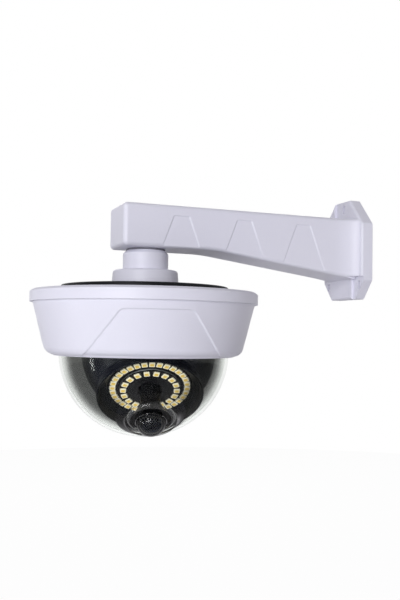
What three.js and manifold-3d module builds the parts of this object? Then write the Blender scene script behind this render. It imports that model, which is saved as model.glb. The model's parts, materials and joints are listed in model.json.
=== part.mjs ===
// A dome camera that hangs from a cast wall arm. Millimetres, +Z up. The origin is on the wall
// plate's back face, midway between its two lower screw slots. The arm runs towards -X and the
// lens looks towards -Y.
import * as THREE from 'three';
import { mergeVertices } from 'three/addons/utils/BufferGeometryUtils.js';
import Module from 'manifold-3d';

const wasm = await Module();
wasm.setup();

// Clearances
const SEAT_GAP = 0.25; // between a piece and what it sits on
const RUNNING_GAP = 0.3; // between pieces that turn or slide on each other
const SCREW_PLAY = 0.25; // round a screw's shank in its hole
const JOIN = 0.2; // how deep one lump of a piece reaches into the next
const PAST = 1; // how far a cutting shape runs past the face that it opens

// Neck pipe, its nut and the round cap it screws into
const NECK_RADIUS = 21.1;
const NECK_CHAMFER = 3;
const NECK_STEP = 4.6; // from the pipe in to its spigot
const SPIGOT_RADIUS = NECK_RADIUS - NECK_STEP;
const SPIGOT_WALL = 4;
const NECK_BORE = SPIGOT_RADIUS - SPIGOT_WALL;
const SPIGOT_END = 8.4; // spigot above the arm's floor
const NUT_CORNERS = 6;
const NUT_WALL = 1.5;
const NUT_FLATS = 2 * (SPIGOT_RADIUS + NUT_WALL);
const NUT_CORNER_RADIUS = NUT_FLATS / 2 / Math.cos(Math.PI / NUT_CORNERS);
const NUT_HEIGHT = 6;
const NECK_GASKET = 1.2;
const CAP_SHOULDER = 9; // cap's top beyond the pipe
const CAP_TOP_RADIUS = NECK_RADIUS + CAP_SHOULDER;
const CAP_LEAN = 1.2; // cap's foot beyond its top
const CAP_FOOT_RADIUS = CAP_TOP_RADIUS + CAP_LEAN;
const CAP_HEIGHT = 14.7;
const CAP_FLOOR = 3.8;
const CAP_HOLE_ROOM = 1.5; // hole in the cap's floor beyond the neck's bore
const CAP_HOLE = NECK_BORE + CAP_HOLE_ROOM;
const CAP_EDGE_RADIUS = 2.2;
const CAP_SCREW_INSET = 5.1; // from the pipe's side out to the cap's screws
const CAP_SCREW_CIRCLE = NECK_RADIUS + CAP_SCREW_INSET;
const CAP_SCREW_RADIUS = 2;
const CAP_SCREW_REACH = 8; // of the shank inside the cap
const SET_SCREW_RADIUS = 2;
const SET_SCREW_HEIGHT = 7.5; // above the cap's foot
const SET_SCREW_SINK = 0.8; // its end below the cap's side

// Wall arm and plate
const REACH = 224.3; // wall to the camera's upright axis
const ARM_WALL = 3.5;
const ARM_EDGE_RADIUS = 4.2;
const NUT_SIDE_ROOM = 3.3; // between the nut's flats and the arm's walls
const NUT_TIP_ROOM = 4.1; // between the nut's corner and the wall at the arm's tip
const ARM_WIDTH = NUT_FLATS + 2 * (NUT_SIDE_ROOM + ARM_WALL);
const TIP_OVERHANG = NUT_CORNER_RADIUS + NUT_TIP_ROOM + ARM_WALL; // beyond the camera's axis
const ARM_TIP_HEIGHT = 39.6;
const ARM_TOP = 66.2;
const ARM_LEVEL_RUN = 61.3; // level underside, from the camera's axis towards the wall
const ARM_SLOPE = 0.1374; // fall of the underside per length after that
const FLARE_LENGTH = 24;
const FLARE_SWEEP = 0.98; // of a quarter turn, that the flare's sides sweep through
const PLATE_EAR = 12.6; // plate beyond each side of the arm
const PLATE_WIDTH = ARM_WIDTH + 2 * PLATE_EAR;
const PLATE_THICKNESS = 12.9;
const PLATE_RISE = 20.9; // plate above the arm's top
const PLATE_TOP = ARM_TOP + PLATE_RISE;
const PLATE_FOOT = -14.1;
const PLATE_TOP_CUT_WIDTH = 23.5;
const PLATE_TOP_CUT_HEIGHT = 26;
const PLATE_FOOT_CUT_WIDTH = 15;
const PLATE_FOOT_CUT_HEIGHT = 18.5;
const PLATE_EDGE_BEVEL = 1.8;
const SCREW_POCKET_DEPTH = 2.5;
const SLOT_WIDTH = 4.6;
const SLOT_LENGTH = 8.6;
const LOWER_SLOT_INSET = 8.4; // from the plate's sides
const LOWER_SLOT_SPACING = PLATE_WIDTH - 2 * LOWER_SLOT_INSET;
const UPPER_SLOT_DROP = 7.6; // below the plate's top
const UPPER_SLOT_HEIGHT = PLATE_TOP - UPPER_SLOT_DROP;
const LOWER_POCKET_WIDTH = 18.9; // from each side of the plate
const LOWER_POCKET_INNER = PLATE_WIDTH / 2 - LOWER_POCKET_WIDTH;
const LOWER_POCKET_TOP = 9;
const UPPER_POCKET_WIDTH = 28;
const UPPER_POCKET_LIP = 2; // plate left in front of that pocket, above the arm

// Sunk panels along the arm's sides
const ARM_PANELS = 3;
const ARM_PANEL_PITCH = 63.3;
const ARM_PANEL_FIRST = 26.5; // first panel's middle, from the camera's axis towards the wall
const ARM_PANEL_TOP_WIDTH = 14.9;
const ARM_PANEL_DROP = 9.9; // below the arm's top
const ARM_PANEL_LEAN = 0.38; // sideways per height of a panel's slanted sides
const PANEL_DEPTH = 0.8;

// Lens, its holder and the light filter, across the eye's axis
const LENS_STEM_RADIUS = 7.15;
const LENS_STEM_WALL = 1.55;
const REAR_GLASS_RADIUS = LENS_STEM_RADIUS - LENS_STEM_WALL;
const REAR_GLASS_THICKNESS = 2.4;
const REAR_GLASS_STEP = 1.1; // that the glass rests on
const LENS_BORE = REAR_GLASS_RADIUS - REAR_GLASS_STEP;
const BUBBLE_RADIUS = 13.5;
const BUBBLE_ROOM = 3.5; // between the lens's head and the bubble, at its root
const LENS_HEAD_RADIUS = BUBBLE_RADIUS - BUBBLE_ROOM;
const LENS_HEAD_LENGTH = 12;
const FRONT_GLASS_RIM = 1.4; // of the barrel about its glass
const FRONT_GLASS_RADIUS = LENS_HEAD_RADIUS - FRONT_GLASS_RIM;
const FRONT_GLASS_BULGE = 5.2;
const FRONT_GLASS_EDGE = 1.8;
const FRONT_GLASS_SINK = 2; // its seat behind the barrel's front
const HOLDER_TUBE_WALL = 1.45;
const HOLDER_TUBE_RADIUS = LENS_STEM_RADIUS + RUNNING_GAP + HOLDER_TUBE_WALL;
const HOLDER_WALL = 2;
const HOLDER_ROOF = 3.3; // from the filter's top to the holder's
const HOLDER_WINDOW_ROOM = 0.5;
const HOLDER_WINDOW = LENS_BORE + HOLDER_WINDOW_ROOM; // radius of the light's way under the lens
const SENSOR_SIZE = 13;
const SENSOR_HEIGHT = 1.5;
const FILTER_ROOM = 1.95; // between the sensor and the filter
const FILTER_LIFT = SEAT_GAP + SENSOR_HEIGHT + FILTER_ROOM; // above the sensor board
const FILTER_LENGTH = 15;
const FILTER_SIDE = 1.5; // beyond each side of the sensor
const FILTER_WIDTH = SENSOR_SIZE + 2 * FILTER_SIDE;
const FILTER_THICKNESS = 1.2;
const FILTER_TRAVEL = 7.2;
const FILTER_GLASS = 8;
const FILTER_LIP = 0.5; // frame under each edge of the glass
const FILTER_RAIL = 1; // holder under each side of the frame
const HOLDER_LENGTH = FILTER_LENGTH + 2 * (FILTER_TRAVEL + RUNNING_GAP + HOLDER_WALL);
const HOLDER_SIDE = 4; // beyond each side of the filter
const HOLDER_WIDTH = FILTER_WIDTH + 2 * HOLDER_SIDE;
const HOLDER_HEIGHT = FILTER_LIFT + FILTER_THICKNESS + HOLDER_ROOF;
const SOLENOID_LENGTH = 7;
const SOLENOID_WIDTH = 12;
const SOLENOID_HEIGHT = 7;
const SENSOR_BOARD_END = 12; // board beyond each end of the holder
const SENSOR_BOARD_SIDE = 8; // and beyond each of its sides
const SENSOR_BOARD_LENGTH = HOLDER_LENGTH + 2 * SENSOR_BOARD_END;
const SENSOR_BOARD_WIDTH = HOLDER_WIDTH + 2 * SENSOR_BOARD_SIDE;
const POST_RADIUS = 2.5;
const POST_EDGE = 1; // from the post to the board's edges

// Lamp boards, their heat sink and the liner's mouth, outwards from the lens
const BOARD_THICKNESS = 1.6;
const LAMP_SIZE = 5;
const LAMP_HEIGHT = 1.4;
const BOARD_BORE_ROOM = 1.7; // about the lens holder's tube
const BOARD_BORE = HOLDER_TUBE_RADIUS + BOARD_BORE_ROOM;
const INNER_LAMPS = 18;
const INNER_LAMP_CIRCLE = 23.8;
const INNER_LAMP_EDGE = 3.6; // from the inner lamps' middles to the step
const BOARD_STEP_RADIUS = INNER_LAMP_CIRCLE + INNER_LAMP_EDGE;
const BOARD_STEP_GAP = 0.4;
const BOARD_STEP_HEIGHT = 2.8;
const OUTER_LAMPS = 32;
const OUTER_LAMP_INSET = 5.8; // from the step to the outer lamps' middles
const OUTER_LAMP_CIRCLE = BOARD_STEP_RADIUS + OUTER_LAMP_INSET;
const OUTER_LAMP_EDGE = 4.6; // and from those to the board's edge
const OUTER_BOARD_RADIUS = OUTER_LAMP_CIRCLE + OUTER_LAMP_EDGE;
const DISH_ROOM = 0.5; // about the outer board
const DISH_RADIUS = OUTER_BOARD_RADIUS + DISH_ROOM;
const DISH_RISE = 4; // from the lamps up to the collar
const SINK_BASE = 3.5;
const SINK_STEP = 4; // from the base's rim up to the outer lamp board
const SINK_SCREW_INSET = 3.2; // from the outer board out to the heat sink's screws
const SINK_SCREW_CIRCLE = OUTER_BOARD_RADIUS + SINK_SCREW_INSET;
const SINK_SCREW_RADIUS = 1;
const SINK_SCREW_REACH = 3; // beyond the base
const SINK_EDGE = 2; // heat sink beyond its screws
const SINK_RADIUS = SINK_SCREW_CIRCLE + SINK_EDGE;
const SINK_ROOM = 3; // between the heat sink and the mouth's skin
const MOUTH_ROOT_RADIUS = SINK_RADIUS + SINK_ROOM;
const MOUTH_FLARE = 1.5;
const MOUTH_LIP_RADIUS = MOUTH_ROOT_RADIUS + MOUTH_FLARE;
const MOUTH_LEAN = 2; // degrees that the lip is cut back towards its upper side
const MOUTH_WALL = 1.6;
const MOUTH_WAY = 12; // clear way through the bowl's wall, behind the heat sink

// Eye: the lamps and lens look along one slanted axis
const EYE_HEADING = 14.4; // degrees from -Y towards -X
const EYE_DROP_ANGLE = 49; // degrees below level
const EYE_SIDE_OFFSET = 4.7; // eye centre beside the dome's axis

// Liner bowl, turret ring, dome and housing, outwards from the mouth
const BOWL_SHOULDER = 16; // bowl's radius beyond the mouth's root
const LINER_RADIUS = MOUTH_ROOT_RADIUS + BOWL_SHOULDER;
const LINER_WALL = 2;
const LINER_FLANGE = 1.8;
const TURRET_RING = 3;
const BOWL_ROOM = 0.8; // between the bowl's side and the ring
const TURRET_RING_BORE = LINER_RADIUS + EYE_SIDE_OFFSET + BOWL_ROOM;
const LINER_SCREW_INSET = 2.9; // from the ring's bore
const LINER_SCREW_CIRCLE = TURRET_RING_BORE + LINER_SCREW_INSET;
const LINER_SCREW_RADIUS = 1.2;
const LINER_SCREW_LENGTH = 4;
const LINER_FLANGE_EDGE = 2.6; // flange beyond the middles of its screws
const LINER_FLANGE_RADIUS = LINER_SCREW_CIRCLE + LINER_FLANGE_EDGE;
const DOME_WALL = 2.5;
const DOME_ROOM = 2.6; // between the liner's flange and the dome
const DOME_RADIUS = LINER_FLANGE_RADIUS + DOME_ROOM + DOME_WALL;
const DOME_MOUTH_GAP = 0.9;
const DOME_SCREW_INSET = 2.5; // from the dome's side
const DOME_SCREW_CIRCLE = DOME_RADIUS + DOME_SCREW_INSET;
const DOME_SCREW_RADIUS = 1.3;
const DOME_HEAD_HEIGHT = 1.2;
const DOME_FLANGE_EDGE = 3.4; // flange beyond the middles of its screws
const DOME_FLANGE_RADIUS = DOME_SCREW_CIRCLE + DOME_FLANGE_EDGE;
const DOME_FLANGE = 2;
const DOME_SEAL = 1;
const GLIDE_RING = 0.9;
const RETAINER = 2;
const RETAINER_LAP = 5; // retainer over the dome's flange
const RETAINER_BORE = DOME_FLANGE_RADIUS - RETAINER_LAP;
const RETAINER_SCREW_INSET = 3.6; // from the dome's flange
const RETAINER_SCREW_CIRCLE = DOME_FLANGE_RADIUS + RETAINER_SCREW_INSET;
const RETAINER_SCREW_RADIUS = 1.4;
const RETAINER_SCREW_REACH = 5; // below the retainer
const RETAINER_BOSS_RADIUS = 3.2;
const RETAINER_EDGE_GAP = 0.65; // between the retainer and the housing's slanted wall
const HOUSING_FOOT_EDGE = 5.9; // foot beyond the dome's flange
const HOUSING_FOOT_RADIUS = DOME_FLANGE_RADIUS + HOUSING_FOOT_EDGE; // as if its corner weren't rounded
const HOUSING_DEPTH = 48;
const HOUSING_WALL = 3;
const HOUSING_SPIGOT = 6.8; // wall that stands up inside the rim
const HOUSING_CORNER_RADIUS = 12;
const HOUSING_INNER_CORNER = 5;
const HOUSING_PANELS = 3;
const HOUSING_PANEL_HEADING = 11; // degrees from -Y towards -X
const HOUSING_PANEL_DROP = 7.7;
const HOUSING_PANEL_TOP_WIDTH = 59.8;
const HOUSING_PANEL_LEAN = 0.73;
const SEAM_GASKET = 1.3;
const DOME_CENTRE_RISE = 4.4; // dome's centre above the housing's foot
const DOME_DROP = HOUSING_DEPTH - DOME_CENTRE_RISE; // below the rim's lower edge

// Upper cover with its rim, and the black weather plate on it
const RIM_DROP = 24.5; // the rim's lower edge below the origin
const HOUSING_SPREAD = 15.1; // from the housing's foot out to the rim
const RIM_RADIUS = HOUSING_FOOT_RADIUS + HOUSING_SPREAD;
const RIM_HEIGHT = 9.3;
const RIM_BEVEL_WIDTH = 2.6;
const RIM_BEVEL_HEIGHT = 2;
const RIM_WALL = 2.6;
const ROOF_THICKNESS = 2.8;
const TOP_PLATE_INSET = 27.5; // from the rim
const TOP_PLATE_RADIUS = RIM_RADIUS - TOP_PLATE_INSET;
const TOP_PLATE_THICKNESS = 4.6;
const TOP_PLATE_EDGE_RADIUS = 1.6;
const GROMMET_BORE = 3.6;
const GROMMET_WALL = 5.2;
const GROMMET_HOLE = GROMMET_BORE + GROMMET_WALL;
const GROMMET_LAP = 2.2; // flange beyond its hole
const GROMMET_FLANGE = GROMMET_HOLE + GROMMET_LAP;
const GROMMET_LIP = 1.5;
const TOP_PLATE_HOLE_ROOM = 3.5; // about the grommet's flange
const TOP_PLATE_HOLE = GROMMET_FLANGE + TOP_PLATE_HOLE_ROOM;
const COVER_SCREW_INSET = 11; // from the rim
const COVER_SCREW_CIRCLE = RIM_RADIUS - COVER_SCREW_INSET;
const COVER_SCREW_RADIUS = 1.9;
const COVER_BOSS_RADIUS = 4.2;
const COVER_BOSS_DEPTH = 12;
const COVER_HEAD_HEIGHT = 1.6;
const BOSS_FLOOR = 1; // under each blind screw hole
const BOSS_INSET = 0.5; // bosses behind the housing's outer skin

// The dome's nose, and places along the eye's axis, from the eye's centre
const BUBBLE_CENTRE = DOME_RADIUS;
const NOSE_WALL = 2;
const NOSE_ROOT = 9; // sunk inside the dome's own ball
const NOSE_SIDE = 0.8; // upright edge of the shoulder
const NOSE_STEP = 0.4; // between that edge and the hollow curve below it
const NOSE_RISE = 1.5; // nose's shoulder beyond the dome
const NOSE_SHOULDER = BUBBLE_CENTRE + NOSE_RISE;
const NOSE_LEDGE = 9.5; // flat shoulder round the bubble
const NOSE_SHOULDER_RADIUS = BUBBLE_RADIUS + NOSE_LEDGE;
const NOSE_CHEEK = 7; // hollow curve from the shoulder out to the dome
const NOSE_RADIUS = NOSE_SHOULDER_RADIUS + NOSE_CHEEK;
const LENS_HEAD_RISE = 2.5; // lens's head inside the bubble
const LENS_HEAD_END = BUBBLE_CENTRE + LENS_HEAD_RISE;
const LENS_HEAD_START = LENS_HEAD_END - LENS_HEAD_LENGTH;
const HOOD_ROOM = 0.6; // between the hood's rim and the nose's inside
const HOOD_RIM = NOSE_SHOULDER - NOSE_WALL - HOOD_ROOM;
const HOOD_LAP = 4; // hood's rim beyond the bubble
const HOOD_RIM_RADIUS = BUBBLE_RADIUS + HOOD_LAP;
const HOOD_LENGTH = 16;
const HOOD_WALL = 1.2;
const HOOD_FLARE = 1; // power that the hood's radius grows with
const HOLDER_TUBE_END = HOOD_RIM - HOOD_LENGTH;
const LAMP_DEPTH = 18.3; // outer lamps' face behind the bowl's radius
const OUTER_LAMP_FACE = LINER_RADIUS - LAMP_DEPTH;
const INNER_LAMP_FACE = OUTER_LAMP_FACE + BOARD_STEP_HEIGHT;
const MOUTH_DEPTH = 10.3; // from the mouth's lip down to the outer lamps' face
const MOUTH_LIP = OUTER_LAMP_FACE + MOUTH_DEPTH;
const SENSOR_DEPTH = 20.2; // sensor's board behind the outer lamps' face
const SENSOR_BOARD_FACE = OUTER_LAMP_FACE - SENSOR_DEPTH;
const LENS_STEM_RISE = 12.5; // stem's end above the sensor's board
const LENS_STEM_END = SENSOR_BOARD_FACE + LENS_STEM_RISE;

// Main board
const MAIN_BOARD_INSET = 35; // from the rim
const MAIN_BOARD_RADIUS = RIM_RADIUS - MAIN_BOARD_INSET;
const MAIN_BOARD_SPACER = 8.2;
const MAIN_BOARD_SCREW_INSET = 10;
const MAIN_BOARD_SCREW_CIRCLE = MAIN_BOARD_RADIUS - MAIN_BOARD_SCREW_INSET;
const SPACER_BORE = 1.7;
const SPACER_WALL = 1.5;
const SPACER_RADIUS = SPACER_BORE + SPACER_WALL;
const BOARD_SCREW_LENGTH = 6;
const CHIP_SIZE = 16;
const CHIP_HEIGHT = 1.4;
const CHIP_SINK_SIZE = 26;
const CHIP_SINK_HEIGHT = 9;
const CHIP_SINK_FINS = 5;
const CHIP_SINK_BASE = 2.5;
const HEADER_PLACE = 20; // from the board's middle
const HEADER_LENGTH = 14;
const HEADER_WIDTH = 7;
const HEADER_HEIGHT = 6.5;

// Screw heads, as shares of the shank's radius
const HEAD_RADIUS_SHARE = 1.9;
const HEAD_HEIGHT_SHARE = 1.1;

// Faces round a turned piece, and steps along a small rounding
const WIDE_FACES = 36;
const MIDDLE_FACES = 28;
const SMALL_FACES = 20;
const SCREW_FACES = 8;
const CORNER_STEPS = 4;
const FASTENER_COUNT = 3;

// Turns a closed geometry into a solid that can be joined and cut.
function solidOf(geometry) {
  const bare = geometry.clone();
  bare.deleteAttribute('normal');
  bare.deleteAttribute('uv');
  const merged = mergeVertices(bare, 1e-4);
  const points = merged.getAttribute('position');
  const corners = [];
  let volume = 0;
  const a = new THREE.Vector3();
  const b = new THREE.Vector3();
  const c = new THREE.Vector3();
  for (let i = 0; i < merged.index.count; i += 3) {
    const [p, q, r] = [0, 1, 2].map((k) => merged.index.getX(i + k));
    if (p === q || q === r || r === p) continue;
    corners.push(p, q, r);
    a.fromBufferAttribute(points, p);
    b.fromBufferAttribute(points, q);
    c.fromBufferAttribute(points, r);
    volume += a.dot(b.cross(c));
  }
  if (volume < 0) corners.reverse();
  return new wasm.Manifold(new wasm.Mesh({
    numProp: 3,
    vertProperties: new Float32Array(points.array),
    triVerts: new Uint32Array(corners),
  }));
}

function geometryOf(solid) {
  const mesh = solid.getMesh();
  const geometry = new THREE.BufferGeometry();
  geometry.setAttribute('position', new THREE.BufferAttribute(new Float32Array(mesh.vertProperties), 3));
  geometry.setIndex(new THREE.BufferAttribute(new Uint32Array(mesh.triVerts), 1));
  geometry.computeVertexNormals();
  return geometry;
}

const join = (first, ...others) => others.reduce((whole, other) => whole.add(other), first);
const cut = (first, ...others) => others.reduce((whole, other) => whole.subtract(other), first);
const radians = THREE.MathUtils.degToRad;

// A profile of [radius, height] points turned about the Z axis.
function turned(profile, faces) {
  const closed = profile.map(([radius, height]) => [radius < 1e-6 ? 0 : radius, height]);
  const [firstRadius, firstHeight] = closed[0];
  const [lastRadius, lastHeight] = closed[closed.length - 1];
  const onAxis = firstRadius === 0 && lastRadius === 0;
  if (!onAxis || firstHeight === lastHeight) closed.push([firstRadius, firstHeight]);
  const points = closed.map(([radius, height]) => new THREE.Vector2(radius, height));
  return solidOf(new THREE.LatheGeometry(points, faces).rotateX(Math.PI / 2));
}

const disc = (radius, low, high, faces = SMALL_FACES) =>
  turned([[0, low], [radius, low], [radius, high], [0, high]], faces);

const ring = (inner, outer, low, high, faces = WIDE_FACES) =>
  turned([[inner, low], [outer, low], [outer, high], [inner, high]], faces);

function block(x, y, z) {
  const geometry = new THREE.BoxGeometry(x[1] - x[0], y[1] - y[0], z[1] - z[0]);
  geometry.translate((x[0] + x[1]) / 2, (y[0] + y[1]) / 2, (z[0] + z[1]) / 2);
  return solidOf(geometry);
}

const mid = (centre, size) => [centre - size / 2, centre + size / 2];

// Points on an arc, from one angle to another, in degrees.
function arc(x, y, radius, from, to, steps) {
  return Array.from({ length: steps + 1 }, (_, i) => {
    const angle = radians(from + ((to - from) * i) / steps);
    return [x + radius * Math.cos(angle), y + radius * Math.sin(angle)];
  });
}

// An outline of [x, y] points, thickened along +Z.
function slab(outline, thickness, bevel = 0) {
  const shape = new THREE.Shape(outline.map(([x, y]) => new THREE.Vector2(x, y)));
  return new THREE.ExtrudeGeometry(shape, {
    depth: thickness - bevel,
    bevelEnabled: bevel > 0,
    bevelThickness: bevel,
    bevelSize: bevel,
    bevelOffset: -bevel,
    bevelSegments: 2,
  });
}

// Moves a solid by building it again from moved points.
function placed(solid, matrix) {
  return solidOf(geometryOf(solid).applyMatrix4(matrix));
}

const shift = (x, y, z) => new THREE.Matrix4().makeTranslation(x, y, z);
const turnZ = (degrees) => new THREE.Matrix4().makeRotationZ(radians(degrees));

// The angles of equal steps round the Z axis.
const aroundZ = (count, start = 0) =>
  Array.from({ length: count }, (_, i) => start + (360 * i) / count);

const polar = (radius, degrees, z = 0) =>
  shift(radius * Math.cos(radians(degrees)), radius * Math.sin(radians(degrees)), z);

// A cheese-head screw with its head on top, its seat at z = 0 and its shank below.
const headRadius = (shankRadius) => shankRadius * HEAD_RADIUS_SHARE;

function screw(shankRadius, length, headHeight = shankRadius * HEAD_HEIGHT_SHARE) {
  return turned([
    [0, -length], [shankRadius, -length], [shankRadius, 0],
    [headRadius(shankRadius), 0], [headRadius(shankRadius), headHeight], [0, headHeight],
  ], SCREW_FACES);
}

function finish(colour, roughness, metalness) {
  return () => new THREE.MeshStandardMaterial({ color: colour, roughness, metalness });
}

const whitePaint = finish(0xdcdbe8, 0.45, 0);
const blackPlastic = finish(0x141519, 0.5, 0);
const blackRubber = finish(0x1b1b1d, 0.8, 0);
const clearPlastic = () => new THREE.MeshStandardMaterial({
  color: 0xeef0f2, roughness: 0.05, metalness: 0, transparent: true, opacity: 0.3,
});
const lensGlass = finish(0x1a2030, 0.05, 0);
const filterGlass = finish(0x7fb0a8, 0.08, 0);
const lampBoard = finish(0x15161a, 0.55, 0);
const greenBoard = finish(0x1f5a3a, 0.5, 0);
const steel = finish(0xb4b6ba, 0.35, 1);
const brass = finish(0xb59a58, 0.35, 1);
const aluminium = finish(0xa9adb2, 0.4, 1);
const whitePlastic = finish(0xe6e4dc, 0.5, 0);
const copper = finish(0xa5603a, 0.4, 1);

function piece(parent, name, solid, material) {
  const mesh = new THREE.Mesh(geometryOf(solid), material());
  mesh.name = name;
  parent.add(mesh);
  return mesh;
}

// The same solid at equal steps round the group's Z axis, each in a mesh of its own.
function piecesAround(parent, name, solid, material, count, radius, height, start = 0) {
  aroundZ(count, start).forEach((degrees, i) => {
    const mesh = piece(parent, `${name}_${i + 1}`, solid, material);
    mesh.position.set(radius * Math.cos(radians(degrees)), radius * Math.sin(radians(degrees)), height);
  });
}

// Wall arm
const ARM_TIP = -REACH - TIP_OVERHANG;
const PLATE_FRONT = -PLATE_THICKNESS;
const ARM_FLOOR = ARM_TOP - ARM_TIP_HEIGHT;
const ARM_BEND = -REACH + ARM_LEVEL_RUN;

const armUnderside = (x) => ARM_FLOOR - Math.max(0, x - ARM_BEND) * ARM_SLOPE;

function armHalfWidth(x) {
  const along = Math.min(1, Math.max(0, (x - (PLATE_FRONT - FLARE_LENGTH)) / FLARE_LENGTH));
  const spread = PLATE_WIDTH / 2 - PLATE_EDGE_BEVEL - ARM_WIDTH / 2;
  return ARM_WIDTH / 2 + spread * (1 - Math.sqrt(1 - (FLARE_SWEEP * along) ** 2));
}

// A rounded rectangle across the arm, drawn in by inset.
function armRing(x, halfWidth, low, high, radius, steps) {
  const corners = [
    [halfWidth - radius, high - radius, 0], [radius - halfWidth, high - radius, 90],
    [radius - halfWidth, low + radius, 180], [halfWidth - radius, low + radius, 270],
  ];
  return corners.flatMap(([y, z, from]) =>
    arc(y, z, radius, from, from + 90, steps).map(([py, pz]) => new THREE.Vector3(x, py, pz)));
}

// Skins rings of equal point counts, from the first to the last, and caps both ends.
function skinned(rings) {
  const around = rings[0].length;
  const points = rings.flat();
  const ends = [rings[0], rings[rings.length - 1]].map((ringPoints) =>
    ringPoints.reduce((sum, point) => sum.add(point), new THREE.Vector3()).divideScalar(around));
  const index = [];
  for (let i = 0; i < rings.length - 1; i += 1) {
    for (let j = 0; j < around; j += 1) {
      const next = (j + 1) % around;
      const [here, beside] = [i * around + j, i * around + next];
      index.push(here, beside, here + around, beside, beside + around, here + around);
    }
  }
  const last = (rings.length - 1) * around;
  for (let j = 0; j < around; j += 1) {
    const next = (j + 1) % around;
    index.push(points.length, next, j, points.length + 1, last + j, last + next);
  }
  const geometry = new THREE.BufferGeometry().setFromPoints([...points, ...ends]);
  geometry.setIndex(index);
  return solidOf(geometry);
}

function armOutside() {
  // The tip's edge is rounded. Its first ring keeps a little of the corner radius.
  const roundTip = ARM_EDGE_RADIUS * 0.95;
  const tipRings = Array.from({ length: CORNER_STEPS }, (_, i) => {
    const angle = (Math.PI / 2) * (i / CORNER_STEPS);
    const inset = roundTip * (1 - Math.sin(angle));
    const x = ARM_TIP + ARM_EDGE_RADIUS * (1 - Math.cos(angle));
    return armRing(x, ARM_WIDTH / 2 - inset, ARM_FLOOR + inset, ARM_TOP - inset,
      ARM_EDGE_RADIUS - inset, CORNER_STEPS);
  });
  const flareSteps = 6;
  const stations = [ARM_TIP + ARM_EDGE_RADIUS, ARM_BEND];
  for (let i = 0; i <= flareSteps; i += 1) {
    stations.push(PLATE_FRONT - FLARE_LENGTH + (FLARE_LENGTH * i) / flareSteps);
  }
  stations.push(PLATE_FRONT + JOIN);
  const rings = stations.map((x) =>
    armRing(x, armHalfWidth(x), armUnderside(x), ARM_TOP, ARM_EDGE_RADIUS, CORNER_STEPS));
  return skinned([...tipRings, ...rings]);
}

function armInside() {
  const halfWidth = ARM_WIDTH / 2 - ARM_WALL;
  const inner = ARM_EDGE_RADIUS / 2;
  const stations = [ARM_TIP + ARM_WALL, ARM_BEND, PLATE_FRONT, PAST];
  return skinned(stations.map((x) => {
    const low = armUnderside(Math.min(x, PLATE_FRONT)) + ARM_WALL;
    return armRing(x, halfWidth, low, ARM_TOP - ARM_WALL, inner, 2);
  }));
}

function wallPlate() {
  const half = PLATE_WIDTH / 2;
  const side = [
    [half, PLATE_FOOT + PLATE_FOOT_CUT_HEIGHT], [half, PLATE_TOP - PLATE_TOP_CUT_HEIGHT],
    [half - PLATE_TOP_CUT_WIDTH, PLATE_TOP],
  ];
  const foot = [half - PLATE_FOOT_CUT_WIDTH, PLATE_FOOT];
  const right = [foot, ...side];
  const left = right.map(([y, z]) => [-y, z]).reverse();
  const geometry = slab([...right, ...left], PLATE_THICKNESS, PLATE_EDGE_BEVEL);
  geometry.applyMatrix4(new THREE.Matrix4().makeBasis(
    new THREE.Vector3(0, 1, 0), new THREE.Vector3(0, 0, 1), new THREE.Vector3(1, 0, 0)));
  geometry.translate(PLATE_FRONT + PLATE_EDGE_BEVEL, 0, 0);
  const height = [PLATE_FOOT - PAST, PLATE_TOP + PAST];
  return cut(solidOf(geometry), block([0, PLATE_THICKNESS], mid(0, PLATE_WIDTH + PAST), height));
}

function slot(y, z) {
  const radius = SLOT_WIDTH / 2;
  const straight = (SLOT_LENGTH - SLOT_WIDTH) / 2;
  const outline = [
    ...arc(y, z + straight, radius, 0, 180, 6), ...arc(y, z - straight, radius, 180, 360, 6),
  ];
  const geometry = slab(outline, PLATE_THICKNESS * 2);
  geometry.applyMatrix4(new THREE.Matrix4().makeBasis(
    new THREE.Vector3(0, 1, 0), new THREE.Vector3(0, 0, 1), new THREE.Vector3(1, 0, 0)));
  geometry.translate(-PLATE_THICKNESS * 1.5, 0, 0);
  return solidOf(geometry);
}

// One sunk panel, cut from the side of the arm that faces -Y or, for side 1, +Y.
function armPanel(number, side) {
  const centre = -REACH + ARM_PANEL_FIRST + number * ARM_PANEL_PITCH;
  const top = ARM_TOP - ARM_PANEL_DROP;
  const low = 0;
  const half = ARM_PANEL_TOP_WIDTH / 2;
  const spread = (top - low) * ARM_PANEL_LEAN;
  const outline = [
    [centre - half - spread, low], [centre + half + spread, low],
    [centre + half, top], [centre - half, top],
  ];
  const face = ARM_WIDTH / 2;
  const geometry = slab(outline, ARM_WALL);
  geometry.rotateX(Math.PI / 2);
  geometry.translate(0, side > 0 ? face - PANEL_DEPTH + ARM_WALL : PANEL_DEPTH - face, 0);
  return solidOf(geometry);
}

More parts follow.
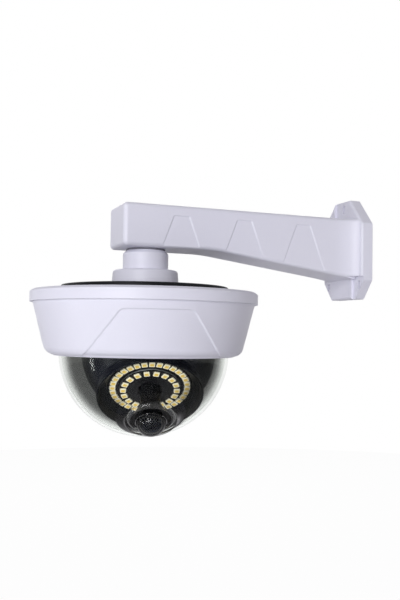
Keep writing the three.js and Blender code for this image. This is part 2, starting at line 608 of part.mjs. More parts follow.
function bracketArm() {
  const pocketFloor = PLATE_FRONT + SCREW_POCKET_DEPTH;
  const beyond = PLATE_WIDTH;
  const pocket = (front, y, z) => block([front, pocketFloor], y, z);
  const slots = [
    slot(0, UPPER_SLOT_HEIGHT), slot(LOWER_SLOT_SPACING / 2, 0), slot(-LOWER_SLOT_SPACING / 2, 0),
  ];
  const plate = cut(
    wallPlate(),
    pocket(PLATE_FRONT - PAST, [LOWER_POCKET_INNER, beyond], [-beyond, LOWER_POCKET_TOP]),
    pocket(PLATE_FRONT - PAST, [-beyond, -LOWER_POCKET_INNER], [-beyond, LOWER_POCKET_TOP]),
    pocket(PLATE_FRONT - PAST, mid(0, UPPER_POCKET_WIDTH), [ARM_TOP + UPPER_POCKET_LIP, PLATE_TOP * 2]),
  );
  // The flare stops above the lower pockets, so that a screwdriver reaches them.
  const driverWays = [[ARM_WIDTH / 2, beyond], [-beyond, -ARM_WIDTH / 2]].map((y) =>
    pocket(PLATE_FRONT - FLARE_LENGTH, y, [-beyond, LOWER_POCKET_TOP]));
  const panels = [];
  for (let i = 0; i < ARM_PANELS; i += 1) panels.push(armPanel(i, 1), armPanel(i, -1));
  const neckHole = placed(
    disc(SPIGOT_RADIUS + SEAT_GAP, ARM_FLOOR - PAST, ARM_FLOOR + ARM_WALL + PAST, MIDDLE_FACES),
    shift(-REACH, 0, 0));
  const outside = cut(armOutside(), ...panels, ...driverWays);
  return cut(join(outside, plate), armInside(), neckHole, ...slots);
}

const object = new THREE.Group();
const bracket = new THREE.Group();
object.add(bracket);
piece(bracket, 'bracket_arm', bracketArm(), whitePaint);

// The camera hangs in a group whose z = 0 is the rim's lower edge.
const camera = new THREE.Group();
camera.position.set(-REACH, 0, -RIM_DROP);
object.add(camera);

const ROOF_TOP = RIM_HEIGHT + RIM_BEVEL_HEIGHT;
const ROOF_UNDER = ROOF_TOP - ROOF_THICKNESS;
const TOP_PLATE_LOW = ROOF_TOP + SEAT_GAP;
const TOP_PLATE_HIGH = TOP_PLATE_LOW + TOP_PLATE_THICKNESS;
const CAP_LOW = TOP_PLATE_HIGH + SEAT_GAP;
const CAP_HIGH = CAP_LOW + CAP_HEIGHT;
const NECK_LOW = CAP_LOW + CAP_FLOOR + SEAT_GAP;
const ARM_FLOOR_HERE = ARM_FLOOR + RIM_DROP;
const NECK_GASKET_TOP = ARM_FLOOR_HERE - SEAT_GAP;
const NECK_HIGH = NECK_GASKET_TOP - NECK_GASKET - SEAT_GAP;
const SPIGOT_HIGH = ARM_FLOOR_HERE + ARM_WALL + SPIGOT_END;
const NUT_LOW = ARM_FLOOR_HERE + ARM_WALL + SEAT_GAP;
const SCREW_SEAT = ROOF_UNDER - SEAT_GAP;

function neckTube() {
  return turned([
    [NECK_BORE, NECK_LOW], [NECK_RADIUS, NECK_LOW], [NECK_RADIUS, NECK_HIGH - NECK_CHAMFER],
    [NECK_RADIUS - NECK_CHAMFER, NECK_HIGH], [SPIGOT_RADIUS, NECK_HIGH], [SPIGOT_RADIUS, SPIGOT_HIGH],
    [NECK_BORE, SPIGOT_HIGH],
  ], MIDDLE_FACES);
}

function lockNut() {
  const hexagon = disc(NUT_CORNER_RADIUS, NUT_LOW, NUT_LOW + NUT_HEIGHT, NUT_CORNERS);
  const bore = disc(SPIGOT_RADIUS + SEAT_GAP, NUT_LOW - PAST, NUT_LOW + NUT_HEIGHT + PAST, MIDDLE_FACES);
  return cut(placed(hexagon, turnZ(180 / NUT_CORNERS)), bore);
}

function screwHoles(circle, radius, low, high, start = 0) {
  return aroundZ(FASTENER_COUNT, start).map((degrees) =>
    placed(disc(radius, low, high, SCREW_FACES), polar(circle, degrees)));
}

const CAP_SCREW_START = 30;

function pendantCap() {
  const edge = CAP_EDGE_RADIUS;
  const rounding = arc(CAP_TOP_RADIUS - edge, CAP_HIGH - edge, edge, 0, 90, CORNER_STEPS);
  const body = turned([
    [CAP_HOLE, CAP_LOW], [CAP_FOOT_RADIUS, CAP_LOW], ...rounding,
    [NECK_RADIUS + SEAT_GAP, CAP_HIGH], [NECK_RADIUS + SEAT_GAP, CAP_LOW + CAP_FLOOR],
    [CAP_HOLE, CAP_LOW + CAP_FLOOR],
  ], MIDDLE_FACES);
  const holes = screwHoles(CAP_SCREW_CIRCLE, CAP_SCREW_RADIUS + SCREW_PLAY,
    CAP_LOW - PAST, CAP_LOW + CAP_SCREW_REACH + BOSS_FLOOR, CAP_SCREW_START);
  const sideHole = setScrewShape(SET_SCREW_RADIUS + SCREW_PLAY, NECK_RADIUS - PAST, CAP_FOOT_RADIUS + PAST);
  return cut(body, ...holes, sideHole);
}

// A cylinder along +Y, at the back of the cap, between two distances from its axis.
function setScrewShape(radius, near, far) {
  const along = new THREE.CylinderGeometry(radius, radius, far - near, SCREW_FACES);
  along.translate(0, (near + far) / 2, CAP_LOW + SET_SCREW_HEIGHT);
  return solidOf(along);
}

piece(camera, 'neck_tube', neckTube(), whitePaint);
piece(camera, 'neck_gasket', ring(SPIGOT_RADIUS + SEAT_GAP, NECK_RADIUS - NECK_CHAMFER,
  NECK_GASKET_TOP - NECK_GASKET, NECK_GASKET_TOP, MIDDLE_FACES), blackRubber);
piece(camera, 'neck_lock_nut', lockNut(), steel);
piece(camera, 'pendant_cap', pendantCap(), whitePaint);
piece(camera, 'cap_set_screw',
  setScrewShape(SET_SCREW_RADIUS, NECK_RADIUS + SEAT_GAP, CAP_FOOT_RADIUS - SET_SCREW_SINK), steel);

// The screws that hold the cap come up from inside the roof.
const upsideDown = new THREE.Matrix4().makeRotationX(Math.PI);
piecesAround(camera, 'cap_screw',
  placed(screw(CAP_SCREW_RADIUS, CAP_LOW + CAP_SCREW_REACH - SCREW_SEAT), upsideDown), steel,
  FASTENER_COUNT, CAP_SCREW_CIRCLE, SCREW_SEAT, CAP_SCREW_START);

function topPlate() {
  const edge = TOP_PLATE_EDGE_RADIUS;
  const body = turned([
    [TOP_PLATE_HOLE, TOP_PLATE_LOW], [TOP_PLATE_RADIUS, TOP_PLATE_LOW],
    ...arc(TOP_PLATE_RADIUS - edge, TOP_PLATE_HIGH - edge, edge, 0, 90, CORNER_STEPS),
    [TOP_PLATE_HOLE, TOP_PLATE_HIGH],
  ], WIDE_FACES);
  return cut(body, ...screwHoles(
    CAP_SCREW_CIRCLE, CAP_SCREW_RADIUS + SCREW_PLAY, ROOF_UNDER, CAP_LOW, CAP_SCREW_START));
}

const COVER_SCREW_START = 50;

function upperCover() {
  const inside = RIM_RADIUS - RIM_WALL;
  const body = turned([
    [GROMMET_HOLE, ROOF_UNDER], [inside, ROOF_UNDER], [inside, 0], [RIM_RADIUS, 0], [RIM_RADIUS, RIM_HEIGHT],
    [RIM_RADIUS - RIM_BEVEL_WIDTH, ROOF_TOP], [GROMMET_HOLE, ROOF_TOP],
  ], WIDE_FACES);
  return cut(
    body,
    ...screwHoles(CAP_SCREW_CIRCLE, CAP_SCREW_RADIUS + SCREW_PLAY, 0, CAP_LOW, CAP_SCREW_START),
    ...screwHoles(COVER_SCREW_CIRCLE, COVER_SCREW_RADIUS + SCREW_PLAY, 0, CAP_LOW, COVER_SCREW_START),
    ...screwHoles(COVER_SCREW_CIRCLE, headRadius(COVER_SCREW_RADIUS) + SCREW_PLAY,
      ROOF_TOP - COVER_HEAD_HEIGHT - SEAT_GAP, CAP_LOW, COVER_SCREW_START),
  );
}

piece(camera, 'top_plate', topPlate(), blackPlastic);
piece(camera, 'upper_cover', upperCover(), whitePaint);
piece(camera, 'cable_grommet', turned([
  [GROMMET_BORE, ROOF_UNDER - SEAT_GAP - GROMMET_LIP], [GROMMET_FLANGE, ROOF_UNDER - SEAT_GAP - GROMMET_LIP],
  [GROMMET_FLANGE, ROOF_UNDER - SEAT_GAP], [GROMMET_HOLE - SEAT_GAP, ROOF_UNDER - SEAT_GAP],
  [GROMMET_HOLE - SEAT_GAP, ROOF_TOP + SEAT_GAP], [GROMMET_FLANGE, ROOF_TOP + SEAT_GAP],
  [GROMMET_FLANGE, ROOF_TOP + SEAT_GAP + GROMMET_LIP], [GROMMET_BORE, ROOF_TOP + SEAT_GAP + GROMMET_LIP],
], SMALL_FACES), blackRubber);
piecesAround(camera, 'cover_screw',
  screw(COVER_SCREW_RADIUS, COVER_BOSS_DEPTH, COVER_HEAD_HEIGHT), steel,
  FASTENER_COUNT, COVER_SCREW_CIRCLE, ROOF_TOP - COVER_HEAD_HEIGHT, COVER_SCREW_START);

// Lower housing, from its spigot inside the rim down to the dome's mouth
const HOUSING_TOP_RADIUS = RIM_RADIUS - RIM_WALL - SEAT_GAP;
const MOUTH_RADIUS = DOME_RADIUS + DOME_MOUTH_GAP;
const LEDGE_TOP = HOUSING_WALL - HOUSING_DEPTH;
const GLIDE_LOW = LEDGE_TOP + SEAT_GAP;
const FLANGE_LOW = GLIDE_LOW + GLIDE_RING + RUNNING_GAP;
const FLANGE_HIGH = FLANGE_LOW + DOME_FLANGE;
const SEAL_LOW = FLANGE_HIGH + SEAT_GAP;
const TURRET_LOW = SEAL_LOW + DOME_SEAL + SEAT_GAP;
const TURRET_HIGH = TURRET_LOW + TURRET_RING;
const RETAINER_LOW = TURRET_HIGH + RUNNING_GAP;
const RETAINER_HIGH = RETAINER_LOW + RETAINER;
const RETAINER_BOSS_TOP = RETAINER_LOW - SEAT_GAP;
const RETAINER_START = 20;

// How far the housing's wall leans in, per height.
const HOUSING_TAPER = (HOUSING_TOP_RADIUS - HOUSING_FOOT_RADIUS) / HOUSING_DEPTH;
const housingOuter = (z) => HOUSING_TOP_RADIUS + Math.min(0, z) * HOUSING_TAPER;

// The housing's outline, drawn in by inset, as [radius, height] from the rim down.
function housingOutline(inset, radius = HOUSING_CORNER_RADIUS - inset) {
  const slant = Math.atan(HOUSING_TAPER);
  const low = inset - HOUSING_DEPTH;
  const cornerX = housingOuter(low) - inset / Math.cos(slant);
  const reach = radius * Math.tan((Math.PI / 2 - slant) / 2);
  const fromAngle = -THREE.MathUtils.radToDeg(slant);
  return [
    [HOUSING_TOP_RADIUS - inset, HOUSING_SPIGOT], [HOUSING_TOP_RADIUS - inset, 0],
    ...arc(cornerX - reach, low + radius, radius, fromAngle, -90, CORNER_STEPS),
  ];
}

function housingPanel(heading) {
  const skinOut = housingOutline(-PAST);
  const skinIn = housingOutline(PANEL_DEPTH).reverse();
  const skin = turned([...skinOut, ...skinIn], WIDE_FACES);
  const half = HOUSING_PANEL_TOP_WIDTH / 2;
  const top = -HOUSING_PANEL_DROP;
  const low = -HOUSING_DEPTH - PAST;
  const spread = (top - low) * HOUSING_PANEL_LEAN;
  const outline = [[-half - spread, low], [half + spread, low], [half, top], [-half, top]];
  const wedge = solidOf(slab(outline, RIM_RADIUS * 2).rotateX(Math.PI / 2));
  const farHalf = block(mid(0, RIM_RADIUS * 2), [0, RIM_RADIUS * 3], [low * 2, 0]);
  const mouthLip = disc(MOUTH_RADIUS + HOUSING_WALL, low * 2, 0, WIDE_FACES);
  return placed(skin.intersect(cut(wedge, farHalf, mouthLip)), turnZ(-heading));
}

function lowerHousing() {
  const outside = housingOutline(0);
  const inside = housingOutline(HOUSING_WALL, HOUSING_INNER_CORNER).reverse();
  const mouth = [[MOUTH_RADIUS, -HOUSING_DEPTH], [MOUTH_RADIUS, LEDGE_TOP]];
  const shell = turned([...outside, ...mouth, ...inside], WIDE_FACES);
  const coverBosses = aroundZ(FASTENER_COUNT, COVER_SCREW_START).map((degrees) =>
    placed(disc(COVER_BOSS_RADIUS, -COVER_BOSS_DEPTH, HOUSING_SPIGOT, SCREW_FACES),
      polar(COVER_SCREW_CIRCLE, degrees)));
  const retainerBosses = aroundZ(FASTENER_COUNT, RETAINER_START).map((degrees) =>
    placed(disc(RETAINER_BOSS_RADIUS, LEDGE_TOP - JOIN, RETAINER_BOSS_TOP, SCREW_FACES),
      polar(RETAINER_SCREW_CIRCLE, degrees)));
  const envelope = turned(
    [[0, HOUSING_SPIGOT], ...housingOutline(BOSS_INSET), [0, BOSS_INSET - HOUSING_DEPTH]], WIDE_FACES);
  const bosses = [...coverBosses, ...retainerBosses].map((boss) => boss.intersect(envelope));
  const panels = aroundZ(HOUSING_PANELS, HOUSING_PANEL_HEADING).map(housingPanel);
  return cut(
    join(shell, ...bosses), ...panels,
    ...screwHoles(COVER_SCREW_CIRCLE, COVER_SCREW_RADIUS + SCREW_PLAY, BOSS_FLOOR - COVER_BOSS_DEPTH,
      ROOF_TOP, COVER_SCREW_START),
    ...screwHoles(RETAINER_SCREW_CIRCLE, RETAINER_SCREW_RADIUS + SCREW_PLAY, LEDGE_TOP + BOSS_FLOOR,
      RETAINER_HIGH, RETAINER_START),
  );
}

piece(camera, 'lower_housing', lowerHousing(), whitePaint);
piece(camera, 'seam_gasket', ring(HOUSING_TOP_RADIUS - HOUSING_WALL, HOUSING_TOP_RADIUS,
  HOUSING_SPIGOT + SEAT_GAP, HOUSING_SPIGOT + SEAT_GAP + SEAM_GASKET), blackRubber);
piece(camera, 'glide_ring', ring(MOUTH_RADIUS + SEAT_GAP, DOME_FLANGE_RADIUS,
  GLIDE_LOW, GLIDE_LOW + GLIDE_RING), blackPlastic);

function turretRetainer() {
  const housingWall = HOUSING_WALL / Math.cos(Math.atan(HOUSING_TAPER));
  const outer = housingOuter(RETAINER_LOW) - housingWall - RETAINER_EDGE_GAP;
  return cut(
    ring(RETAINER_BORE, outer, RETAINER_LOW, RETAINER_HIGH),
    ...screwHoles(RETAINER_SCREW_CIRCLE, RETAINER_SCREW_RADIUS + SCREW_PLAY,
      RETAINER_LOW - PAST, RETAINER_HIGH + PAST, RETAINER_START),
  );
}
piece(camera, 'turret_retainer', turretRetainer(), steel);
piecesAround(camera, 'retainer_screw', screw(RETAINER_SCREW_RADIUS, RETAINER + RETAINER_SCREW_REACH), steel,
  FASTENER_COUNT, RETAINER_SCREW_CIRCLE, RETAINER_HIGH + SEAT_GAP, RETAINER_START);

// Main board, hung under the roof on three spacers
const BOARD_HIGH = ROOF_UNDER - SEAT_GAP * 2 - MAIN_BOARD_SPACER;
const BOARD_LOW = BOARD_HIGH - BOARD_THICKNESS;
const CHIP_LOW = BOARD_LOW - SEAT_GAP - CHIP_HEIGHT;
const CHIP_SINK_HIGH = CHIP_LOW - SEAT_GAP;

piece(camera, 'main_board', cut(
  disc(MAIN_BOARD_RADIUS, BOARD_LOW, BOARD_HIGH, MIDDLE_FACES),
  ...screwHoles(MAIN_BOARD_SCREW_CIRCLE, SPACER_BORE, BOARD_LOW - PAST, BOARD_HIGH + PAST),
), greenBoard);
const spacerLow = BOARD_HIGH + SEAT_GAP;
piecesAround(camera, 'board_spacer',
  ring(SPACER_BORE, SPACER_RADIUS, 0, MAIN_BOARD_SPACER, SCREW_FACES), brass,
  FASTENER_COUNT, MAIN_BOARD_SCREW_CIRCLE, spacerLow);
piecesAround(camera, 'board_screw',
  placed(screw(SPACER_BORE - SCREW_PLAY, BOARD_SCREW_LENGTH), upsideDown), steel,
  FASTENER_COUNT, MAIN_BOARD_SCREW_CIRCLE, BOARD_LOW - SEAT_GAP);
const chipSide = mid(0, CHIP_SIZE);
piece(camera, 'processor', block(chipSide, chipSide, [CHIP_LOW, CHIP_LOW + CHIP_HEIGHT]), blackPlastic);

function chipSink() {
  const fin = CHIP_SINK_SIZE / (CHIP_SINK_FINS * 2 - 1);
  const low = CHIP_SINK_HIGH - CHIP_SINK_HEIGHT;
  const baseLow = CHIP_SINK_HIGH - CHIP_SINK_BASE;
  const side = mid(0, CHIP_SINK_SIZE);
  const plate = block(side, side, [baseLow, CHIP_SINK_HIGH]);
  const fins = Array.from({ length: CHIP_SINK_FINS }, (_, i) => {
    const start = -CHIP_SINK_SIZE / 2 + i * fin * 2;
    return block([start, start + fin], side, [low, baseLow + JOIN]);
  });
  return join(plate, ...fins);
}
piece(camera, 'processor_heatsink', chipSink(), aluminium);
piece(camera, 'cable_header',
  block([HEADER_PLACE, HEADER_PLACE + HEADER_LENGTH], mid(0, HEADER_WIDTH),
    [spacerLow, spacerLow + HEADER_HEIGHT]), whitePlastic);

// Turret: z = 0 in its group is the dome's centre.
const turret = new THREE.Group();
turret.position.set(0, 0, -DOME_DROP);
camera.add(turret);
const fromRim = (z) => z + DOME_DROP;

// The eye group's Z axis runs out through the lens. Its X axis is level.
const heading = radians(EYE_HEADING);
const fall = radians(EYE_DROP_ANGLE);
const eyeOut = new THREE.Vector3(
  -Math.sin(heading) * Math.cos(fall), -Math.cos(heading) * Math.cos(fall), -Math.sin(fall));
const eyeSide = new THREE.Vector3(0, 0, 1).cross(eyeOut).normalize();
const eyeMatrix = new THREE.Matrix4()
  .makeBasis(eyeSide, eyeOut.clone().cross(eyeSide), eyeOut)
  .setPosition(EYE_SIDE_OFFSET, 0, 0);
const eye = new THREE.Group();
eye.applyMatrix4(eyeMatrix);
turret.add(eye);

const DOME_SCREW_START = 70;

// A ball's lower part and its straight neck, up to a height above the ball's centre.
const domeBody = (radius, top) =>
  turned([...arc(0, 0, radius, -90, 0, CORNER_STEPS * 2), [radius, top], [0, top]], WIDE_FACES);

// The nose that stands out of the dome round the lens. A wall of 0 gives its outside.
function noseBody(wall) {
  const shoulder = NOSE_SHOULDER - wall;
  const bubble = BUBBLE_RADIUS - wall;
  const footHeight = Math.sqrt(DOME_RADIUS ** 2 - NOSE_RADIUS ** 2) - wall - PAST;
  const startAngle = THREE.MathUtils.radToDeg(Math.asin((shoulder - BUBBLE_CENTRE) / bubble));
  const dish = [0.25, 0.5, 0.75].map((t) => {
    const radius = NOSE_RADIUS - wall + (NOSE_SHOULDER_RADIUS - NOSE_RADIUS) * t;
    return [radius, footHeight + (shoulder - NOSE_SIDE - NOSE_STEP - footHeight) * t * t];
  });
  const side = NOSE_SHOULDER_RADIUS - wall;
  return turned([
    [0, footHeight - NOSE_ROOT], [NOSE_RADIUS - wall, footHeight - NOSE_ROOT],
    [NOSE_RADIUS - wall, footHeight], ...dish,
    [side, shoulder - NOSE_SIDE], [side - NOSE_SIDE, shoulder],
    ...arc(0, BUBBLE_CENTRE, bubble, startAngle, 90, CORNER_STEPS + 1),
  ], SMALL_FACES);
}

function domeCover() {
  const top = fromRim(FLANGE_HIGH);
  const outside = join(
    domeBody(DOME_RADIUS, top), placed(noseBody(0), eyeMatrix),
    disc(DOME_FLANGE_RADIUS, fromRim(FLANGE_LOW), top, WIDE_FACES));
  const inside = join(domeBody(DOME_RADIUS - DOME_WALL, top + PAST), placed(noseBody(NOSE_WALL), eyeMatrix));
  return cut(outside, inside, ...domeScrewHoles(FLANGE_LOW, FLANGE_HIGH));
}

// Holes for the dome's screws, through a piece between two heights above the rim's lower edge.
function domeScrewHoles(low, high) {
  return screwHoles(DOME_SCREW_CIRCLE, DOME_SCREW_RADIUS + SCREW_PLAY,
    fromRim(low) - PAST, fromRim(high) + PAST, DOME_SCREW_START);
}

piece(turret, 'dome_cover', domeCover(), clearPlastic);
piece(turret, 'dome_seal', cut(
  ring(DOME_RADIUS - DOME_WALL, DOME_FLANGE_RADIUS, fromRim(SEAL_LOW), fromRim(SEAL_LOW) + DOME_SEAL),
  ...domeScrewHoles(SEAL_LOW, SEAL_LOW + DOME_SEAL),
), blackRubber);

function turretRing() {
  return cut(
    ring(TURRET_RING_BORE, DOME_FLANGE_RADIUS, fromRim(TURRET_LOW), fromRim(TURRET_HIGH)),
    ...domeScrewHoles(TURRET_LOW, TURRET_HIGH),
    ...screwHoles(DOME_SCREW_CIRCLE, headRadius(DOME_SCREW_RADIUS) + SCREW_PLAY,
      fromRim(TURRET_HIGH) - DOME_HEAD_HEIGHT - SEAT_GAP, fromRim(TURRET_HIGH) + PAST, DOME_SCREW_START),
    ...screwHoles(LINER_SCREW_CIRCLE, LINER_SCREW_RADIUS + SCREW_PLAY,
      fromRim(TURRET_LOW) - PAST, fromRim(TURRET_HIGH) + PAST, DOME_SCREW_START),
  );
}
piece(turret, 'turret_ring', turretRing(), blackPlastic);
piecesAround(turret, 'dome_screw',
  screw(DOME_SCREW_RADIUS, TURRET_HIGH - FLANGE_LOW - DOME_HEAD_HEIGHT, DOME_HEAD_HEIGHT), steel,
  FASTENER_COUNT, DOME_SCREW_CIRCLE, fromRim(TURRET_HIGH) - DOME_HEAD_HEIGHT, DOME_SCREW_START);

// Liner bowl, with the collar and the dish round the lamps
const LINER_FLANGE_LOW = fromRim(TURRET_HIGH) + SEAT_GAP;
const OUTER_BOARD_FACE = OUTER_LAMP_FACE - LAMP_HEIGHT;
const INNER_BOARD_FACE = INNER_LAMP_FACE - LAMP_HEIGHT;
const OUTER_STEP = OUTER_BOARD_FACE - BOARD_THICKNESS - SEAT_GAP;
const INNER_STEP = INNER_BOARD_FACE - BOARD_THICKNESS - SEAT_GAP;
const SINK_LOW = OUTER_STEP - SINK_BASE - SINK_STEP;
const SINK_RIM = SINK_LOW + SINK_BASE;

function linerBowl() {
  const ball = (radius, top) => {
    const rise = THREE.MathUtils.radToDeg(Math.asin(LINER_FLANGE_LOW / radius));
    return placed(turned([
      ...arc(0, 0, radius, -90, rise, CORNER_STEPS * 2), [radius * Math.cos(radians(rise)), top], [0, top],
    ], MIDDLE_FACES), shift(EYE_SIDE_OFFSET, 0, 0));
  };
  const top = LINER_FLANGE_LOW + LINER_FLANGE;
  const flange = disc(LINER_FLANGE_RADIUS, LINER_FLANGE_LOW, top, WIDE_FACES);
  const collar = turned([
    [MOUTH_ROOT_RADIUS - MOUTH_WALL, SINK_RIM + SEAT_GAP], [MOUTH_ROOT_RADIUS, SINK_RIM + SEAT_GAP],
    [MOUTH_LIP_RADIUS, MOUTH_LIP], [MOUTH_LIP_RADIUS - MOUTH_WALL, MOUTH_LIP],
  ], MIDDLE_FACES);
  const dish = turned([
    [DISH_RADIUS, SINK_RIM + SEAT_GAP], [MOUTH_ROOT_RADIUS - JOIN, SINK_RIM + SEAT_GAP],
    [MOUTH_ROOT_RADIUS - JOIN, OUTER_BOARD_FACE + DISH_RISE], [DISH_RADIUS, OUTER_BOARD_FACE],
  ], MIDDLE_FACES);
  const lean = new THREE.Matrix4().makeRotationX(radians(-MOUTH_LEAN))
    .premultiply(shift(0, -MOUTH_LIP_RADIUS, MOUTH_LIP));
  const across = LINER_RADIUS * 3;
  const trim = placed(block(mid(0, across), [-PAST, across], [0, LINER_RADIUS]), lean);
  const mouth = disc(MOUTH_ROOT_RADIUS - JOIN, SINK_LOW - MOUTH_WAY, BUBBLE_CENTRE, MIDDLE_FACES);
  const eyePart = placed(cut(join(collar, dish), trim), eyeMatrix);
  const bowl = cut(
    join(ball(LINER_RADIUS, top), flange), ball(LINER_RADIUS - LINER_WALL, top + PAST),
    placed(mouth, eyeMatrix));
  const holes = screwHoles(LINER_SCREW_CIRCLE, LINER_SCREW_RADIUS + SCREW_PLAY,
    LINER_FLANGE_LOW - PAST, top + PAST, DOME_SCREW_START);
  const sinkHoles = screwHoles(SINK_SCREW_CIRCLE, SINK_SCREW_RADIUS + SCREW_PLAY,
    SINK_LOW, SINK_RIM + SINK_SCREW_REACH + BOSS_FLOOR, DOME_SCREW_START)
    .map((hole) => placed(hole, eyeMatrix));
  return cut(join(bowl, eyePart), ...holes, ...sinkHoles);
}
piece(turret, 'liner_bowl', linerBowl(), blackPlastic);
piecesAround(turret, 'liner_screw', screw(LINER_SCREW_RADIUS, LINER_SCREW_LENGTH), steel,
  FASTENER_COUNT, LINER_SCREW_CIRCLE, LINER_FLANGE_LOW + LINER_FLANGE + SEAT_GAP, DOME_SCREW_START);

// Lamp boards on their stepped heat sink
piece(eye, 'lamp_heatsink', cut(
  turned([
    [BOARD_BORE, SINK_LOW], [SINK_RADIUS, SINK_LOW], [SINK_RADIUS, SINK_RIM], [OUTER_BOARD_RADIUS, SINK_RIM],
    [OUTER_BOARD_RADIUS, OUTER_STEP], [BOARD_STEP_RADIUS - BOARD_STEP_GAP, OUTER_STEP],
    [BOARD_STEP_RADIUS - BOARD_STEP_GAP, INNER_STEP], [BOARD_BORE, INNER_STEP],
  ], MIDDLE_FACES),
  ...screwHoles(SINK_SCREW_CIRCLE, SINK_SCREW_RADIUS + SCREW_PLAY,
    SINK_LOW - PAST, SINK_RIM + PAST, DOME_SCREW_START),
), aluminium);
piecesAround(eye, 'heatsink_screw',
  placed(screw(SINK_SCREW_RADIUS, SINK_BASE + SINK_SCREW_REACH), upsideDown), steel,
  FASTENER_COUNT, SINK_SCREW_CIRCLE, SINK_LOW - SEAT_GAP, DOME_SCREW_START);

function lampRing(inner, outer, boardFace, count, circle, start = 90) {
  const board = ring(inner, outer, boardFace - BOARD_THICKNESS, boardFace, MIDDLE_FACES);
  const lamp = block(mid(0, LAMP_SIZE), mid(0, LAMP_SIZE), [boardFace - JOIN, boardFace + LAMP_HEIGHT]);
  const lamps = aroundZ(count, start).map((degrees) =>
    placed(lamp, polar(circle, degrees).multiply(turnZ(degrees))));
  return join(board, ...lamps);
}
piece(eye, 'outer_lamp_board', lampRing(
  BOARD_STEP_RADIUS, OUTER_BOARD_RADIUS, OUTER_BOARD_FACE, OUTER_LAMPS, OUTER_LAMP_CIRCLE), lampBoard);
// The inner ring has a gap, not a lamp, at its top.
piece(eye, 'inner_lamp_board', lampRing(
  BOARD_BORE, BOARD_STEP_RADIUS - BOARD_STEP_GAP, INNER_BOARD_FACE, INNER_LAMPS, INNER_LAMP_CIRCLE,
  90 + 180 / INNER_LAMPS), lampBoard);

// Sensor board, lens holder and the sliding filter between them
const SENSOR_BOARD_BACK = SENSOR_BOARD_FACE - BOARD_THICKNESS;
const HOLDER_LOW = SENSOR_BOARD_FACE + SEAT_GAP;
const HOLDER_HIGH = HOLDER_LOW + HOLDER_HEIGHT;
const FILTER_LOW = SENSOR_BOARD_FACE + FILTER_LIFT;
const HOLDER_BORE = LENS_STEM_RADIUS + RUNNING_GAP;

piece(eye, 'sensor_board', block(mid(0, SENSOR_BOARD_LENGTH), mid(0, SENSOR_BOARD_WIDTH),
  [SENSOR_BOARD_BACK, SENSOR_BOARD_FACE]), greenBoard);
piece(eye, 'image_sensor', block(mid(0, SENSOR_SIZE), mid(0, SENSOR_SIZE),
  [SENSOR_BOARD_FACE + SEAT_GAP, SENSOR_BOARD_FACE + SEAT_GAP + SENSOR_HEIGHT]), lensGlass);

function lensHolder() {
  const inside = HOLDER_LENGTH - HOLDER_WALL * 2;
  const slotTop = FILTER_LOW + FILTER_THICKNESS + RUNNING_GAP;
  const base = block(mid(0, HOLDER_LENGTH), mid(0, HOLDER_WIDTH), [HOLDER_LOW, HOLDER_HIGH]);
  const tube = disc(HOLDER_TUBE_RADIUS, HOLDER_HIGH - JOIN, HOLDER_TUBE_END, SMALL_FACES);
  return cut(
    join(base, tube),
    block(mid(0, inside), mid(0, FILTER_WIDTH - FILTER_RAIL * 2), [HOLDER_LOW - PAST, slotTop]),
    block(mid(0, inside), mid(0, FILTER_WIDTH + RUNNING_GAP * 2), [FILTER_LOW - RUNNING_GAP, slotTop]),
    disc(HOLDER_WINDOW, slotTop - JOIN, HOLDER_HIGH + PAST, SMALL_FACES),
    disc(HOLDER_BORE, HOLDER_HIGH, HOLDER_TUBE_END + PAST, SMALL_FACES),
  );
}
piece(eye, 'lens_holder', lensHolder(), blackPlastic);
piece(eye, 'filter_solenoid', block(
  [HOLDER_LENGTH / 2 + SEAT_GAP, HOLDER_LENGTH / 2 + SEAT_GAP + SOLENOID_LENGTH], mid(0, SOLENOID_WIDTH),
  [HOLDER_LOW, HOLDER_LOW + SOLENOID_HEIGHT]), copper);
const postHigh = SINK_LOW - SEAT_GAP;
[-1, 1].forEach((side, i) => {
  const post = disc(POST_RADIUS, HOLDER_LOW, postHigh, SCREW_FACES);
  const mesh = piece(eye, `sensor_post_${i + 1}`, post, brass);
  const inset = POST_RADIUS + POST_EDGE;
  mesh.position.set(side * (SENSOR_BOARD_LENGTH / 2 - inset), side * (SENSOR_BOARD_WIDTH / 2 - inset), 0);
});

function lensHood() {
  const start = HOLDER_TUBE_END + SEAT_GAP;
  const height = HOOD_RIM - start;
  const steps = 5;
  const curve = (inward) => Array.from({ length: steps + 1 }, (_, i) => {
    const t = i / steps;
    const radius = HOLDER_TUBE_RADIUS - inward + (HOOD_RIM_RADIUS - HOLDER_TUBE_RADIUS) * t ** HOOD_FLARE;
    return [radius, start + height * Math.sin((t * Math.PI) / 2)];
  });
  return turned([...curve(0), ...curve(HOOD_WALL).reverse()], SMALL_FACES);
}
piece(eye, 'lens_hood', lensHood(), blackRubber);

// Lens that turns in the holder's thread
const lens = new THREE.Group();
eye.add(lens);
const GLASS_SEAT = LENS_HEAD_END - FRONT_GLASS_SINK;
const REAR_GLASS_SEAT = LENS_STEM_END + REAR_GLASS_THICKNESS + SEAT_GAP * 2;
piece(lens, 'lens_barrel', turned([
  [REAR_GLASS_RADIUS + SEAT_GAP, LENS_STEM_END], [LENS_STEM_RADIUS, LENS_STEM_END],
  [LENS_STEM_RADIUS, LENS_HEAD_START], [LENS_HEAD_RADIUS, LENS_HEAD_START], [LENS_HEAD_RADIUS, LENS_HEAD_END],
  [FRONT_GLASS_RADIUS + SEAT_GAP, LENS_HEAD_END], [FRONT_GLASS_RADIUS + SEAT_GAP, GLASS_SEAT],
  [LENS_BORE, GLASS_SEAT], [LENS_BORE, REAR_GLASS_SEAT], [REAR_GLASS_RADIUS + SEAT_GAP, REAR_GLASS_SEAT],
], SMALL_FACES), blackPlastic);
const glassBack = GLASS_SEAT + SEAT_GAP;
